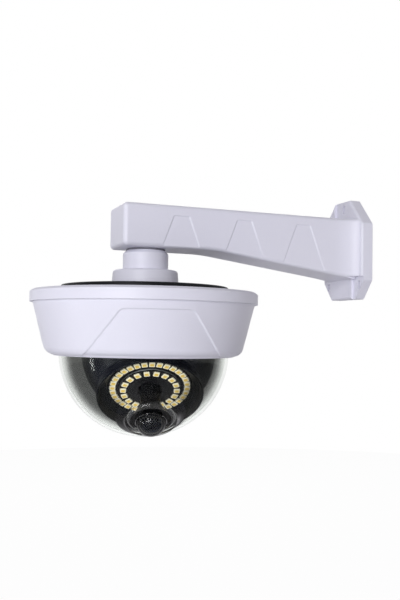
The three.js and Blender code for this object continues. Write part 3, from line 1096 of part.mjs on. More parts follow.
const bulge = arc(0, 0, 1, 0, 90, CORNER_STEPS + 1).map(([across, along]) =>
  [FRONT_GLASS_RADIUS * across, glassBack + FRONT_GLASS_EDGE + FRONT_GLASS_BULGE * along]);
piece(lens, 'front_glass',
  turned([[0, glassBack], [FRONT_GLASS_RADIUS, glassBack], ...bulge], SMALL_FACES), lensGlass);
piece(lens, 'rear_glass', disc(REAR_GLASS_RADIUS, LENS_STEM_END + SEAT_GAP,
  LENS_STEM_END + SEAT_GAP + REAR_GLASS_THICKNESS), lensGlass);

// Filter frame that slides along the eye's X axis
const filter = new THREE.Group();
eye.add(filter);
const filterHigh = FILTER_LOW + FILTER_THICKNESS;
const filterRebate = FILTER_LOW + FILTER_THICKNESS / 2;
const window = mid(0, FILTER_GLASS - FILTER_LIP * 2);
const rebate = mid(0, FILTER_GLASS + SEAT_GAP * 2);
piece(filter, 'filter_frame', cut(
  block(mid(0, FILTER_LENGTH), mid(0, FILTER_WIDTH), [FILTER_LOW, filterHigh]),
  block(window, window, [FILTER_LOW - PAST, filterHigh + PAST]),
  block(rebate, rebate, [filterRebate, filterHigh + PAST]),
), blackPlastic);
const glassSide = mid(0, FILTER_GLASS);
piece(filter, 'filter_glass',
  block(glassSide, glassSide, [filterRebate + SEAT_GAP / 2, filterHigh]), filterGlass);

export default object;
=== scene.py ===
"""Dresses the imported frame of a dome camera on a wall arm.

Shapes are drawn in millimetres in a local frame, and Place takes them to metres in the row's frame:
+Z up, the wall at x = 0, the arm along -X and the lens looking towards -Y.
"""

import json
import logging
import math
from dataclasses import dataclass
from enum import Enum
from typing import Any, Callable, Iterable, Optional, Sequence

import bmesh
import bpy
from mathutils import Matrix, Vector

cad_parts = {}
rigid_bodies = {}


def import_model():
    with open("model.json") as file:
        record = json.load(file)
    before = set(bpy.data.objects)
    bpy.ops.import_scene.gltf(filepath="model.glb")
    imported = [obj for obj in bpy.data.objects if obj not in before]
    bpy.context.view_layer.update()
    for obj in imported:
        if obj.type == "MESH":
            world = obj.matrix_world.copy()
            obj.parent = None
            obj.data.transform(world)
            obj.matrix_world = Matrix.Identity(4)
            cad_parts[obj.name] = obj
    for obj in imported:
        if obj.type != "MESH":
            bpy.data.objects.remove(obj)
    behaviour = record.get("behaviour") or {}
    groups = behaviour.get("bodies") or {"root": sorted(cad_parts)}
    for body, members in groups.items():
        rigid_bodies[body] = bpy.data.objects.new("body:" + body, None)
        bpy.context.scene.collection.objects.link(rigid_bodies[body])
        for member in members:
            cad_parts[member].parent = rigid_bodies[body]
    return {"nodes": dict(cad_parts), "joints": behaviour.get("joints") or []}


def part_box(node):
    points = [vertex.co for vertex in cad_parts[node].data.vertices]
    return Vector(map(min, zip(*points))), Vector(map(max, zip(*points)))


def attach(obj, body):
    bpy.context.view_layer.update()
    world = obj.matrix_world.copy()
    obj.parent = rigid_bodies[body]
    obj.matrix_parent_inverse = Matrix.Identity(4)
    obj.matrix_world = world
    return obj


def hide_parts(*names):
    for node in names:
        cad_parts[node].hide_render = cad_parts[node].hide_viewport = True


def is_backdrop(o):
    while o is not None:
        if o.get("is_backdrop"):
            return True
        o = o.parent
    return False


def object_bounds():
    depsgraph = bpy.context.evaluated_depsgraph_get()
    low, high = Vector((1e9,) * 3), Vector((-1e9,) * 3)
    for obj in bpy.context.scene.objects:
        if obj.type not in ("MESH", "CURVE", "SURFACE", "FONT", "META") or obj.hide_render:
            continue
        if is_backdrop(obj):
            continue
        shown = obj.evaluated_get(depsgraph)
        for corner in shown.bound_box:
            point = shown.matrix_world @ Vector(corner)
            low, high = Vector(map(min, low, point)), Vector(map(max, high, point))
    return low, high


LOG = logging.getLogger("dome_camera")
MM = 0.001
WELD = 1e-4
RIM = 192
FINE = 128
BORE = 96
SMALL = 32
Pair = tuple[float, float]
Corner = tuple[float, float, float]
Colour = tuple[float, float, float]
Mesh = bpy.types.Mesh
Warp = Callable[[float, float, float], float]
Settings = Optional[dict]


class Cut(Enum):
    """What carve does with its tools."""

    AWAY = "DIFFERENCE"
    JOIN = "UNION"
    SHARE = "INTERSECT"


class Body(Enum):
    """The bodies of the frame that new pieces ride on."""

    ROOT = "root"
    TURRET = "turret"
    LENS = "lens"


def srgb(red: float, green: float, blue: float) -> Colour:
    """Turns a colour of 0 to 255 a channel, as seen on a screen, into linear light."""

    def linear(value: float) -> float:
        """Undoes the screen's curve for one channel."""
        share = value / 255
        return share / 12.92 if share <= 0.04045 else ((share + 0.055) / 1.055) ** 2.4

    return linear(red), linear(green), linear(blue)


def evenly(first: float, last: float, count: int) -> list[float]:
    """Values from first to last, count even steps apart."""
    return [first + (last - first) * step / count for step in range(count + 1)]


def ease(share: float) -> float:
    """A smooth step from 0 to 1."""
    clipped = min(1.0, max(0.0, share))
    return clipped * clipped * (3 - 2 * clipped)


def around(count: int, start: float = 0.0) -> list[float]:
    """Equal steps round a circle.

    Args:
        count: How many steps.
        start: The first angle, in degrees.

    Returns:
        The angles in radians.
    """
    return [math.radians(start) + math.tau * step / count for step in range(count)]


def polygon(radius: float, count: int, start: float = 0.0) -> list[Pair]:
    """A regular outline round the axis, with its first corner at an angle in degrees."""
    return [(radius * math.cos(angle), radius * math.sin(angle)) for angle in around(count, start)]


def arc(x: float, y: float, radius: float, start: float, end: float, steps: int) -> list[Pair]:
    """Points on an arc.

    Args:
        x: The centre's first coordinate.
        y: The centre's second coordinate.
        radius: The arc's radius.
        start: The first angle, in degrees.
        end: The last angle, in degrees.
        steps: How many pieces the arc has.

    Returns:
        steps + 1 points.
    """
    angles = [math.radians(angle) for angle in evenly(start, end, steps)]
    return [(x + radius * math.cos(angle), y + radius * math.sin(angle)) for angle in angles]


def rounded(corners: Sequence[Corner], steps: int = 5, closed: bool = True) -> list[Pair]:
    """Rounds the corners of an outline.

    Args:
        corners: The outline's corners as (x, y, radius).
        steps: How many pieces each rounding has.
        closed: False keeps the first and last points as they are.

    Returns:
        The outline's points.
    """
    points: list[Pair] = []
    count = len(corners)
    for index, (x, y, radius) in enumerate(corners):
        if radius <= 0 or (not closed and index in (0, count - 1)):
            points.append((x, y))
            continue
        here = Vector((x, y))
        before = (Vector(corners[index - 1][:2]) - here).normalized()
        after = (Vector(corners[(index + 1) % count][:2]) - here).normalized()
        between = before.angle(after)
        if between > math.pi - 1e-3:
            points.append((x, y))
            continue
        reach = radius / math.tan(between / 2)
        middle = here + (before + after).normalized() * (radius / math.sin(between / 2))
        first = here + before * reach - middle
        last = here + after * reach - middle
        turn = math.atan2(first.cross(last), first.dot(last))
        for step in range(steps + 1):
            spoke = first.copy()
            spoke.rotate(Matrix.Rotation(turn * step / steps, 2))
            points.append(tuple(middle + spoke))
    return points


def drawn_in(corners: Sequence[Pair], inset: float, radius: float) -> list[Corner]:
    """Moves every side of a convex outline inwards.

    Args:
        corners: The outline, anticlockwise.
        inset: How far each side moves in, or out below 0.
        radius: The corner radius before the move.

    Returns:
        The new corners with their radii.
    """
    drawn: list[Corner] = []
    count = len(corners)
    for index in range(count):
        here = Vector(corners[index])
        before = (here - Vector(corners[index - 1])).normalized()
        after = (Vector(corners[(index + 1) % count]) - here).normalized()
        left = Vector((-before.y, before.x)) + Vector((-after.y, after.x))
        shift = left / (1 + before.dot(after)) * inset
        drawn.append((here.x + shift.x, here.y + shift.y, max(0.05, radius - inset)))
    return drawn


def mesh_of(points: Iterable[Sequence[float]], faces: Iterable[Sequence[int]]) -> Mesh:
    """Makes a mesh whose doubled points are joined and whose faces point out."""
    mesh = bpy.data.meshes.new("shape")
    mesh.from_pydata([tuple(point) for point in points], [], [tuple(face) for face in faces])
    work = bmesh.new()
    work.from_mesh(mesh)
    bmesh.ops.remove_doubles(work, verts=work.verts, dist=WELD)
    bmesh.ops.recalc_face_normals(work, faces=work.faces)
    work.to_mesh(mesh)
    work.free()
    return mesh


def ring_faces(count: int, size: int, closed: bool = False) -> list[tuple[int, ...]]:
    """The faces between rings of equal point counts, numbered one ring after another.

    Args:
        count: How many rings.
        size: Points in each.
        closed: True joins the last ring to the first too.

    Returns:
        Four point numbers for each face.
    """
    faces = []
    for row in range(count if closed else count - 1):
        low, high = row * size, (row + 1) % count * size
        for step in range(size):
            following = (step + 1) % size
            faces.append((low + step, low + following, high + following, high + step))
    return faces


def lathe(profile: Sequence[Pair], steps: int = FINE, warp: Optional[Warp] = None) -> Mesh:
    """Turns a profile about the Z axis.

    Args:
        profile: (radius, height) points, from axis to axis or round a closed outline.
        steps: Faces round the axis.
        warp: Gives a point's radius from its radius, height and angle, as a thread does.

    Returns:
        The closed mesh.
    """
    on_axis = profile[0][0] < WELD and profile[-1][0] < WELD
    rows = list(profile) if on_axis else [*profile, profile[0]]
    points = []
    for radius, height in rows:
        for angle in around(steps):
            far = warp(radius, height, angle) if warp else radius
            points.append((far * math.cos(angle), far * math.sin(angle), height))
    return mesh_of(points, ring_faces(len(rows), steps))


def loft(rings: Sequence[Sequence[Sequence[float]]]) -> Mesh:
    """Skins rings of equal point counts and closes both ends."""
    size = len(rings[0])
    points = [point for ring in rings for point in ring]
    ends = [tuple(range(size)), tuple(range(len(points) - size, len(points)))]
    return mesh_of(points, ends + ring_faces(len(rings), size))


def prism(outline: Sequence[Pair], low: float, high: float) -> Mesh:
    """Thickens an outline of (x, y) points from one height to another."""
    return loft([[(x, y, height) for x, y in outline] for height in (low, high)])


def tiers(outline: Sequence[Pair], levels: Sequence[Pair], radius: float) -> Mesh:
    """Stacks an outline at levels of (height, inset), with its corners rounded."""
    return loft([
        [(x, y, height) for x, y in rounded(drawn_in(outline, inset, radius), 3)]
        for height, inset in levels
    ])


def block(low: Sequence[float], high: Sequence[float], edge: float = 0.2) -> Mesh:
    """A box between two corners, with its upright edges and rims broken."""
    width, depth = high[0] - low[0], high[1] - low[1]
    edge = min(edge, width / 4, depth / 4, (high[2] - low[2]) / 4)
    corners = [(low[0], low[1]), (high[0], low[1]), (high[0], high[1]), (low[0], high[1])]
    levels = [(low[2], edge), (low[2] + edge, 0), (high[2] - edge, 0), (high[2], edge)]
    return tiers(corners, levels, edge * 1.5)


def moved(mesh: Mesh, matrix: Matrix) -> Mesh:
    """Gives a moved copy of a mesh."""
    copy = mesh.copy()
    copy.transform(matrix)
    if matrix.determinant() < 0:
        copy.flip_normals()
    return copy


def merged(meshes: Sequence[Mesh], slots: Optional[Sequence[int]] = None) -> Mesh:
    """Puts several meshes in one, without joining their solids.

    Args:
        meshes: The meshes.
        slots: The material slot of each mesh, or None to leave them all at 0.

    Returns:
        One mesh.
    """
    work = bmesh.new()
    for index, mesh in enumerate(meshes):
        before = len(work.faces)
        work.from_mesh(mesh)
        work.faces.ensure_lookup_table()
        if slots:
            for face in work.faces[before:]:
                face.material_index = slots[index]
    whole = bpy.data.meshes.new("shape")
    work.to_mesh(whole)
    work.free()
    return whole


def carve(base: Mesh, tools: Sequence[Mesh], what: Cut = Cut.AWAY) -> Mesh:
    """Cuts tools out of a solid, joins them to it, or keeps what both share.

    Args:
        base: The solid.
        tools: The other solids.
        what: Which of the three.

    Returns:
        The new solid.
    """
    scene = bpy.context.scene
    bench = bpy.data.collections.new("bench")
    scene.collection.children.link(bench)
    body = bpy.data.objects.new("body", base)
    scene.collection.objects.link(body)
    for tool in tools:
        bench.objects.link(bpy.data.objects.new("tool", tool))
    modifier = body.modifiers.new("carve", "BOOLEAN")
    modifier.operation = what.value
    modifier.solver = "MANIFOLD"
    modifier.operand_type = "COLLECTION"
    modifier.collection = bench
    bpy.context.view_layer.update()
    result = bpy.data.meshes.new_from_object(body.evaluated_get(bpy.context.evaluated_depsgraph_get()))
    for tool in list(bench.objects):
        bpy.data.objects.remove(tool)
    bpy.data.objects.remove(body)
    bpy.data.collections.remove(bench)
    result.materials.clear()
    return result


@dataclass(frozen=True)
class Place:
    """A local frame whose points are in millimetres."""

    matrix: Matrix

    @staticmethod
    def at(origin: Vector, turn: Optional[Matrix] = None) -> "Place":
        """A frame at a point of the row's frame, in metres, with its own axes."""
        axes = turn.to_4x4() if turn else Matrix.Identity(4)
        return Place(Matrix.Translation(origin) @ axes @ Matrix.Scale(MM, 4))

    def shifted(self, x: float, y: float, z: float = 0.0) -> "Place":
        """The same frame, moved along its own axes."""
        return Place(self.matrix @ Matrix.Translation((x, y, z)))


class Value:
    """A number that varies over a surface. Python's operators add Math nodes."""

    def __init__(self, graph: "Graph", socket: bpy.types.NodeSocket) -> None:
        """Wraps a node's output.

        Args:
            graph: The tree that the socket is in.
            socket: The output that carries the number.
        """
        self.graph = graph
        self.socket = socket

    def _math(self, operation: str, first: Any, second: Any) -> "Value":
        """Adds one Math node on two values or numbers."""
        return self.graph.value("Math", {"operation": operation}, {0: first, 1: second})

    def __add__(self, other: Any) -> "Value":
        """Adds a value or number."""
        return self._math("ADD", self, other)

    def __mul__(self, other: Any) -> "Value":
        """Multiplies by a value or number."""
        return self._math("MULTIPLY", self, other)

    def __rsub__(self, other: Any) -> "Value":
        """Takes this value away from a number."""
        return self._math("SUBTRACT", other, self)

    def __truediv__(self, other: Any) -> "Value":
        """Divides by a value or number."""
        return self._math("DIVIDE", self, other)

    def __pow__(self, other: Any) -> "Value":
        """Raises to a power."""
        return self._math("POWER", self, other)

    def between(self, low: float, high: float) -> "Value":
        """A smooth 0 to 1 as this value goes from low to high."""
        settings = {"interpolation_type": "SMOOTHSTEP"}
        return self.graph.value("MapRange", settings, {"Value": self, "From Min": low, "From Max": high})


class Graph:
    """The node tree of one material or of the world."""

    def __init__(self, tree: bpy.types.NodeTree) -> None:
        """Clears a tree and starts again."""
        self.tree = tree
        self.tree.nodes.clear()

    def add(self, kind: str, settings: Settings = None, inputs: Settings = None) -> bpy.types.Node:
        """Adds a node.

        Args:
            kind: The node's type, without the word ShaderNode.
            settings: Its properties, set first.
            inputs: What each input gets: a number, a colour, a socket or a Value.

        Returns:
            The node.
        """
        node = self.tree.nodes.new("ShaderNode" + kind)
        for name, setting in (settings or {}).items():
            setattr(node, name, setting)
        for name, given in (inputs or {}).items():
            socket = node.inputs[name]
            if isinstance(given, Value):
                given = given.socket
            if isinstance(given, bpy.types.NodeSocket):
                self.tree.links.new(given, socket)
            elif socket.type == "RGBA" and len(given) == 3:
                socket.default_value = (*given, 1)
            else:
                socket.default_value = given
        return node

    def value(self, kind: str, settings: Settings = None, inputs: Settings = None) -> Value:
        """Adds a node and gives its first output as a Value."""
        return Value(self, self.add(kind, settings, inputs).outputs[0])

    def object_point(self, stretch: Colour = (1, 1, 1)) -> bpy.types.NodeSocket:
        """Places on the object, in metres, stretched along each axis."""
        point = self.add("TexCoord").outputs["Object"]
        scaled = self.add("VectorMath", {"operation": "MULTIPLY"}, {0: point, 1: stretch})
        return scaled.outputs[0]

    def noise(self, size: float, detail: float, point: Optional[bpy.types.NodeSocket] = None) -> Value:
        """Soft noise from 0 to 1, with lumps of a size in millimetres."""
        inputs = {"Vector": point or self.object_point(), "Scale": 1 / (size * MM), "Detail": detail}
        return self.value("TexNoise", None, inputs)

    def blend(self, share: Any, first: Any, second: Any) -> bpy.types.NodeSocket:
        """Mixes two colours by a share."""
        node = self.add("Mix", {"data_type": "RGBA"}, {0: share, 6: first, 7: second})
        return node.outputs[2]

    def relief(self, height: Value, depth: float) -> bpy.types.NodeSocket:
        """A bump of a depth in millimetres, from a height of 0 to 1."""
        return self.add("Bump", None, {"Distance": depth * MM, "Height": height}).outputs[0]

    def shader(self, **inputs: Any) -> bpy.types.Node:
        """A Principled shader, with its sockets named in words joined by underscores."""
        named = {name.replace("_", " "): given for name, given in inputs.items()}
        return self.add("BsdfPrincipled", None, named)

    def finish(self, surface: bpy.types.Node, target: str = "OutputMaterial") -> None:
        """Links the last shader to the output."""
        self.add(target, None, {"Surface": surface.outputs[0]})


def blank(name: str) -> tuple[bpy.types.Material, Graph]:
    """A new material with its empty tree."""
    made = bpy.data.materials.new(name)
    made.use_nodes = True
    return made, Graph(made.node_tree)


@dataclass(frozen=True)
class Finish:
    """An opaque finish: a colour that drifts a little, a gloss, a fine grain and, for the lamps, a glow of
    painted light.
    """

    name: str
    colour: Colour
    roughness: float = 0.5
    metallic: float = 0.0
    specular: float = 0.5
    drift: Colour = (1.0, 1.0, 1.0)
    patch: float = 45.0
    grain: float = 0.6
    depth: float = 0.01
    gloss_drift: float = 0.08
    brushed: Colour = (1.0, 1.0, 1.0)
    glow: float = 0.0
    patch_range: Pair = (0.3, 0.7)
    speck_range: Pair = (0.35, 0.75)
    patch_share: float = 0.6

    def base(self, graph: Graph) -> bpy.types.NodeSocket:
        """The colour, with soft patches and fine specks of the drifted colour."""
        drifted = tuple(channel * share for channel, share in zip(self.colour, self.drift))
        patches = graph.noise(self.patch, 3).between(*self.patch_range)
        specks = graph.noise(self.grain * 2, 2).between(*self.speck_range)
        share = patches * self.patch_share + specks * (1 - self.patch_share)
        return graph.blend(share, self.colour, drifted)

    def height(self, graph: Graph) -> Value:
        """The grain's height."""
        point = graph.object_point(self.brushed)
        return graph.noise(self.grain, 3, point)

    def material(self) -> bpy.types.Material:
        """Builds the material."""
        made, graph = blank(self.name)
        height = self.height(graph)
        smoothest = self.roughness - self.gloss_drift / 2
        shader = graph.shader(
            Base_Color=self.base(graph),
            Roughness=graph.noise(self.patch / 3, 3) * self.gloss_drift + smoothest,
            Metallic=self.metallic,
            Specular_IOR_Level=self.specular,
            # The glow is painted light: the finish gives off a little light of its own colour, though the
            # part is no lamp of the scene.
            Emission_Color=self.colour,
            Emission_Strength=self.glow,
            Normal=graph.relief(height, self.depth),
        )
        graph.finish(shader)
        return made


@dataclass(frozen=True)
class Circuit(Finish):
    """A circuit board: solder mask with tracks that show through it."""

    track: Colour = (0.1, 0.3, 0.15)
    pitch: float = 2.4
    scatter: float = 0.35
    track_edge: Pair = (0.08, 0.16)
    track_height: float = 0.8

    def tracks(self, graph: Graph) -> Value:
        """1 on the tracks and 0 between them."""
        settings = {"feature": "DISTANCE_TO_EDGE"}
        inputs = {"Vector": graph.object_point(), "Scale": 1 / (self.pitch * MM), "Randomness": self.scatter}
        cells = graph.value("TexVoronoi", settings, inputs)
        return 1 - cells.between(*self.track_edge)

    def base(self, graph: Graph) -> bpy.types.NodeSocket:
        """Solder mask, lighter over the tracks."""
        return graph.blend(self.tracks(graph), super().base(graph), self.track)

    def height(self, graph: Graph) -> Value:
        """The tracks stand a little proud."""
        return self.tracks(graph) * self.track_height + super().height(graph) * (1 - self.track_height)


@dataclass(frozen=True)
class ClearShell:
    """Clear moulded plastic or glass: it tints what is behind it, mirrors a little, and carries painted shade
    aslant and at its outline.
    """

    name: str
    tint: Colour
    mirror: float
    edge_mirror: float
    edge_power: float = 5.0
    roughness: float = 0.05
    haze: Colour = (0.9, 0.9, 0.9)
    # These fields set painted shade: a dark band where the shell is seen aslant, and a thinner one at its
    # outline.
    painted_shade: float = 0.0
    painted_shade_starts: Pair = (0.3, 0.45)
    painted_shade_ends: Pair = (0.5, 0.8)
    outline: float = 0.0
    painted_outline_shade_band: Pair = (0.93, 1.0)
    dark: Colour = (0.02, 0.022, 0.018)
    ripple: float = 0.02
    ripple_size: float = 9.0

    def material(self) -> bpy.types.Material:
        """Builds the material."""
        made, graph = blank(self.name)
        facing = Value(graph, graph.add("LayerWeight", None, {"Blend": 0.5}).outputs["Facing"])
        mirror = facing**self.edge_power * self.edge_mirror + self.mirror
        # Painted shade: a dark band where the shell is seen aslant stands in for the shaded inside seen
        # through it, and a thin band darkens the outline.
        painted_shade = facing.between(*self.painted_shade_starts) * (1 - facing.between(*self.painted_shade_ends)) * self.painted_shade
        painted_shade = painted_shade + facing.between(*self.painted_outline_shade_band) * self.outline
        share = mirror + painted_shade * (1 - mirror)
        shining = mirror / share
        ripple = graph.noise(self.ripple_size, 2)
        surface = graph.shader(
            Base_Color=graph.blend(shining, self.dark, self.haze),
            Metallic=1.0,
            Roughness=ripple * self.ripple + self.roughness,
        )
        clear = graph.add("BsdfTransparent", None, {"Color": self.tint})
        mixed = graph.add("MixShader", None, {0: share, 1: clear.outputs[0], 2: surface.outputs[0]})
        graph.finish(mixed)
        return made


class Paint(Enum):
    """Every finish of the camera."""

    WHITE = Finish(
        "white_powder_coat", srgb(229, 228, 239), 0.42, specular=0.4, drift=(0.975, 0.975, 0.985),
        patch=70, grain=0.8, depth=0.012,
    )
    BLACK = Finish(
        "black_moulded_plastic", srgb(18, 19, 22), 0.42, specular=0.1, drift=(1.25, 1.25, 1.25),
        grain=0.4, depth=0.01,
    )
    LINER = Finish(
        "navy_black_liner", srgb(24, 27, 38), 0.3, specular=0.2, drift=(1.2, 1.2, 1.2), grain=0.5,
        depth=0.006,
    )
    HOOD = Finish(
        "satin_black_hood", srgb(18, 18, 20), 0.35, specular=0.2, drift=(1.2, 1.2, 1.2), grain=0.4,
        depth=0.003,
    )
    RUBBER = Finish(
        "black_rubber", srgb(27, 27, 29), 0.75, specular=0.3, drift=(1.3, 1.3, 1.3), grain=0.25, depth=0.02,
    )
    # A mid gray rubber for the neck's washer: a real washer whose gray is painted shade, chosen so that it
    # reads as the faint shaded gap under the arm.
    GAP_SHADE_RUBBER = Finish(
        "gray_rubber_gap_shade", srgb(128, 127, 136), 0.7, specular=0.3, drift=(1.1, 1.1, 1.1), grain=0.25,
        depth=0.02,
    )
    STEEL = Finish(
        "zinc_plated_steel", srgb(188, 190, 194), 0.32, 1.0, drift=(0.85, 0.86, 0.9), grain=0.3,
        depth=0.006, gloss_drift=0.15,
    )
    BRASS = Finish(
        "turned_brass", srgb(190, 160, 92), 0.3, 1.0, drift=(0.85, 0.8, 0.75), grain=0.3, depth=0.006,
    )
    ALUMINIUM = Finish(
        "bare_aluminium", srgb(178, 182, 188), 0.42, 1.0, drift=(0.88, 0.88, 0.9), grain=0.25, depth=0.01,
        brushed=(1.0, 1.0, 0.1),
    )
    IVORY = Finish(
        "ivory_plastic", srgb(228, 224, 210), 0.45, drift=(0.94, 0.93, 0.88), grain=0.3, depth=0.006,
    )
    COPPER = Finish(
        "enamelled_copper", srgb(170, 98, 60), 0.3, 1.0, drift=(0.8, 0.75, 0.7), grain=0.2, depth=0.02,
        brushed=(0.15, 0.15, 1.0),
    )
    GREEN_BOARD = Circuit(
        "green_circuit_board", srgb(22, 78, 50), 0.35, drift=(0.9, 0.95, 0.9), grain=0.4, depth=0.02,
        track=srgb(46, 118, 72),
    )
    BLACK_BOARD = Circuit(
        "black_lamp_board", srgb(20, 20, 24), 0.45, specular=0.35, drift=(1.2, 1.2, 1.2), grain=0.4,
        depth=0.01, track=srgb(30, 30, 35),
    )
    # The lamps' bodies and faces glow a little: painted light that brightens them inside the shaded bowl,
    # though nothing lights them up.
    LAMP_BODY = Finish(
        "lamp_ivory_body", srgb(250, 242, 214), 0.4, drift=(0.97, 0.95, 0.88), patch=6, grain=0.2,
        depth=0.004, glow=0.42,
    )
    LAMP_FACE = Finish(
        "lamp_yellow_face", srgb(240, 206, 110), 0.35, drift=(0.95, 0.9, 0.7), patch=4, grain=0.15,
        depth=0.01, glow=0.45,
    )
    SILVER_PAD = Finish("tinned_pad", srgb(200, 200, 202), 0.3, 1.0, drift=(0.9, 0.9, 0.9), grain=0.15)
    SENSOR = Finish(
        "sensor_die", srgb(34, 40, 62), 0.12, 0.6, drift=(1.3, 0.9, 1.5), patch=5, grain=0.1, depth=0.001,
    )
    # The dome's shell carries painted shade: a dark band where it is seen aslant and a darker outline.
    CLEAR = ClearShell(
        "clear_polycarbonate", srgb(246, 247, 246), 0.005, 0.5, 8.0, painted_shade=0.43, painted_shade_starts=(0.16, 0.36),
        painted_shade_ends=(0.47, 0.75), outline=0.35, dark=(0.03, 0.032, 0.028),
    )
    # The nose and its edges are painted nearly black wherever they are seen aslant: painted shade that stands
    # in for the dark lens inside them.
    NOSE = ClearShell(
        "clear_nose", srgb(246, 247, 246), 0.01, 0.95, 5.0, painted_shade=0.97, painted_shade_starts=(0.38, 0.55),
        painted_shade_ends=(2.0, 3.0), dark=(0.004, 0.004, 0.004),
    )
    NOSE_EDGE = ClearShell(
        "clear_nose_edge", srgb(246, 247, 246), 0.04, 1.2, 2.0, painted_shade=0.95, painted_shade_starts=(0.3, 0.5),
        painted_shade_ends=(2.0, 3.0), dark=(0.004, 0.004, 0.004),
    )
    LENS = ClearShell("coated_lens_glass", srgb(150, 160, 175), 0.03, 0.6, 5.0, haze=(0.75, 0.8, 1.0))
    FILTER = ClearShell("infrared_filter_glass", srgb(150, 205, 200), 0.05, 0.6, 5.0, haze=(0.8, 1.0, 0.95))


class Bench:
    """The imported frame, its local frames, and the pieces put on it."""

    def __init__(self) -> None:
        """Loads the frame and works out where the camera's parts lie."""
        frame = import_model()
        self.nodes: dict[str, bpy.types.Object] = frame["nodes"]
        self.joints = {joint["name"]: joint for joint in frame["joints"]}
        self.packed_box = [list(corner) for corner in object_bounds()]
        low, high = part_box("upper_cover")
        self.row = Place.at(Vector((0, 0, 0)))
        self.rim = Place.at(Vector(((low.x + high.x) / 2, 0, low.z)))
        self.dome = Place.at(Vector(self.joints["turret_pan"]["pos_m"]))
        out = Vector(self.joints["focus_turn"]["axis"])
        side = Vector((0, 0, 1)).cross(out).normalized()
        axes = Matrix((side, out.cross(side), out)).transposed()
        self.eye = Place.at(Vector(self.joints["focus_turn"]["pos_m"]), axes)
        self.materials: dict[Paint, bpy.types.Material] = {}

    def points(self, place: Place, node: str) -> list[Vector]:
        """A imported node's points along a local frame's axes."""
        back = place.matrix.inverted()
        return [back @ vertex.co for vertex in self.nodes[node].data.vertices]

    def reach(self, place: Place, node: str) -> tuple[Vector, Vector]:
        """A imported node's lowest and highest corners along a local frame's axes."""
        columns = list(zip(*self.points(place, node)))
        return Vector([min(column) for column in columns]), Vector([max(column) for column in columns])

    def ring(self, place: Place, node: str) -> tuple[float, float, float, float]:
        """The inner and outer radius and the lowest and highest height of a turned node."""
        points = self.points(place, node)
        radii = [point.xy.length for point in points]
        heights = [point.z for point in points]
        return min(radii), max(radii), min(heights), max(heights)

    def paint(self, paint: Paint) -> bpy.types.Material:
        """The material of a finish, made once."""
        if paint not in self.materials:
            self.materials[paint] = paint.value.material()
        return self.materials[paint]

    def put(self, name: str, node: str, mesh: Mesh, place: Place, *paints: Paint, body: Body = Body.ROOT,
            sharp: float = 32.0) -> None:
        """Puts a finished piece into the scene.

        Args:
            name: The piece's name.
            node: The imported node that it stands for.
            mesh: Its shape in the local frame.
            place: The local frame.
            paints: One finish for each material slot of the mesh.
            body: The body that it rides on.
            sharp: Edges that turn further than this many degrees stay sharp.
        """
        piece_mesh = moved(mesh, place.matrix)
        piece_mesh.name = name
        for paint in paints:
            piece_mesh.materials.append(self.paint(paint))
        piece_mesh.shade_smooth()
        piece_mesh.set_sharp_from_angle(angle=math.radians(sharp))
        piece = bpy.data.objects.new(name, piece_mesh)
        bpy.context.scene.collection.objects.link(piece)
        weighted = piece.modifiers.new("flat_faces", "WEIGHTED_NORMAL")
        weighted.keep_sharp = True
        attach(piece, body.value)
        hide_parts(node)
        LOG.info("%s: %d faces on %s", name, len(piece_mesh.polygons), body.value)

    def dress(self, node: str, paint: Paint, edge: float = 0.15) -> None:
        """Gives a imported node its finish, with broken edges."""
        piece = self.nodes[node]
        piece.data.materials.clear()
        piece.data.materials.append(self.paint(paint))
        bevel = piece.modifiers.new("broken_edges", "BEVEL")
        bevel.width = edge * MM
        bevel.segments = 2
        bevel.limit_method = "ANGLE"
        bevel.angle_limit = math.radians(40)
        bevel.harden_normals = True
        LOG.info("%s: dressed in %s", node, paint.value.name)


def thread(pitch: float, depth: float, low: float, high: float, radius: float) -> Warp:
    """The warp of an outside thread.

    Args:
        pitch: Rise of the thread per turn.
        depth: Depth of its grooves.
        low: Height where it starts.
        high: Height where it ends.
        radius: Only points at this radius are cut.

    Returns:
        A function for lathe.
    """

    def warp(far: float, height: float, angle: float) -> float:
        """Draws a point in by the groove's depth there."""
        if abs(far - radius) > WELD or not low < height < high:
            return far
        wave = abs((height / pitch - angle / math.tau) % 1.0 - 0.5) * 2
        fade = min(1.0, (height - low) / pitch, (high - height) / pitch)
        return far - depth * wave * fade

    return warp


def climbing(radius: float, low: float, high: float, step: float) -> list[Pair]:
    """Points up a straight side, close enough for a thread."""
    count = max(1, math.ceil(abs(high - low) / step))
    return [(radius, height) for height in evenly(low, high, count)]


def disc(radius: float, low: float, high: float, steps: int = SMALL) -> Mesh:
    """A plain cylinder, for cutting."""
    return lathe([(0, low), (radius, low), (radius, high), (0, high)], steps)


def washer(inner: float, outer: float, low: float, high: float, edge: float, steps: int = FINE) -> Mesh:
    """A flat ring with its edges broken."""
    edge = min(edge, (high - low) / 3, (outer - inner) / 3)
    corners = [(inner, low), (outer, low), (outer, high), (inner, high)]
    return lathe(rounded([(x, y, edge) for x, y in corners], 3), steps)


@dataclass(frozen=True)
class Bolt:
    """Where one screw sits and how big it is, in its family's local frame."""

    node: str
    centre: Vector
    seat: float
    head: float
    shank: float
    length: float
    height: float

    def shift(self) -> Matrix:
        """The move from the local axis to the screw's."""
        return Matrix.Translation((self.centre.x, self.centre.y, 0))


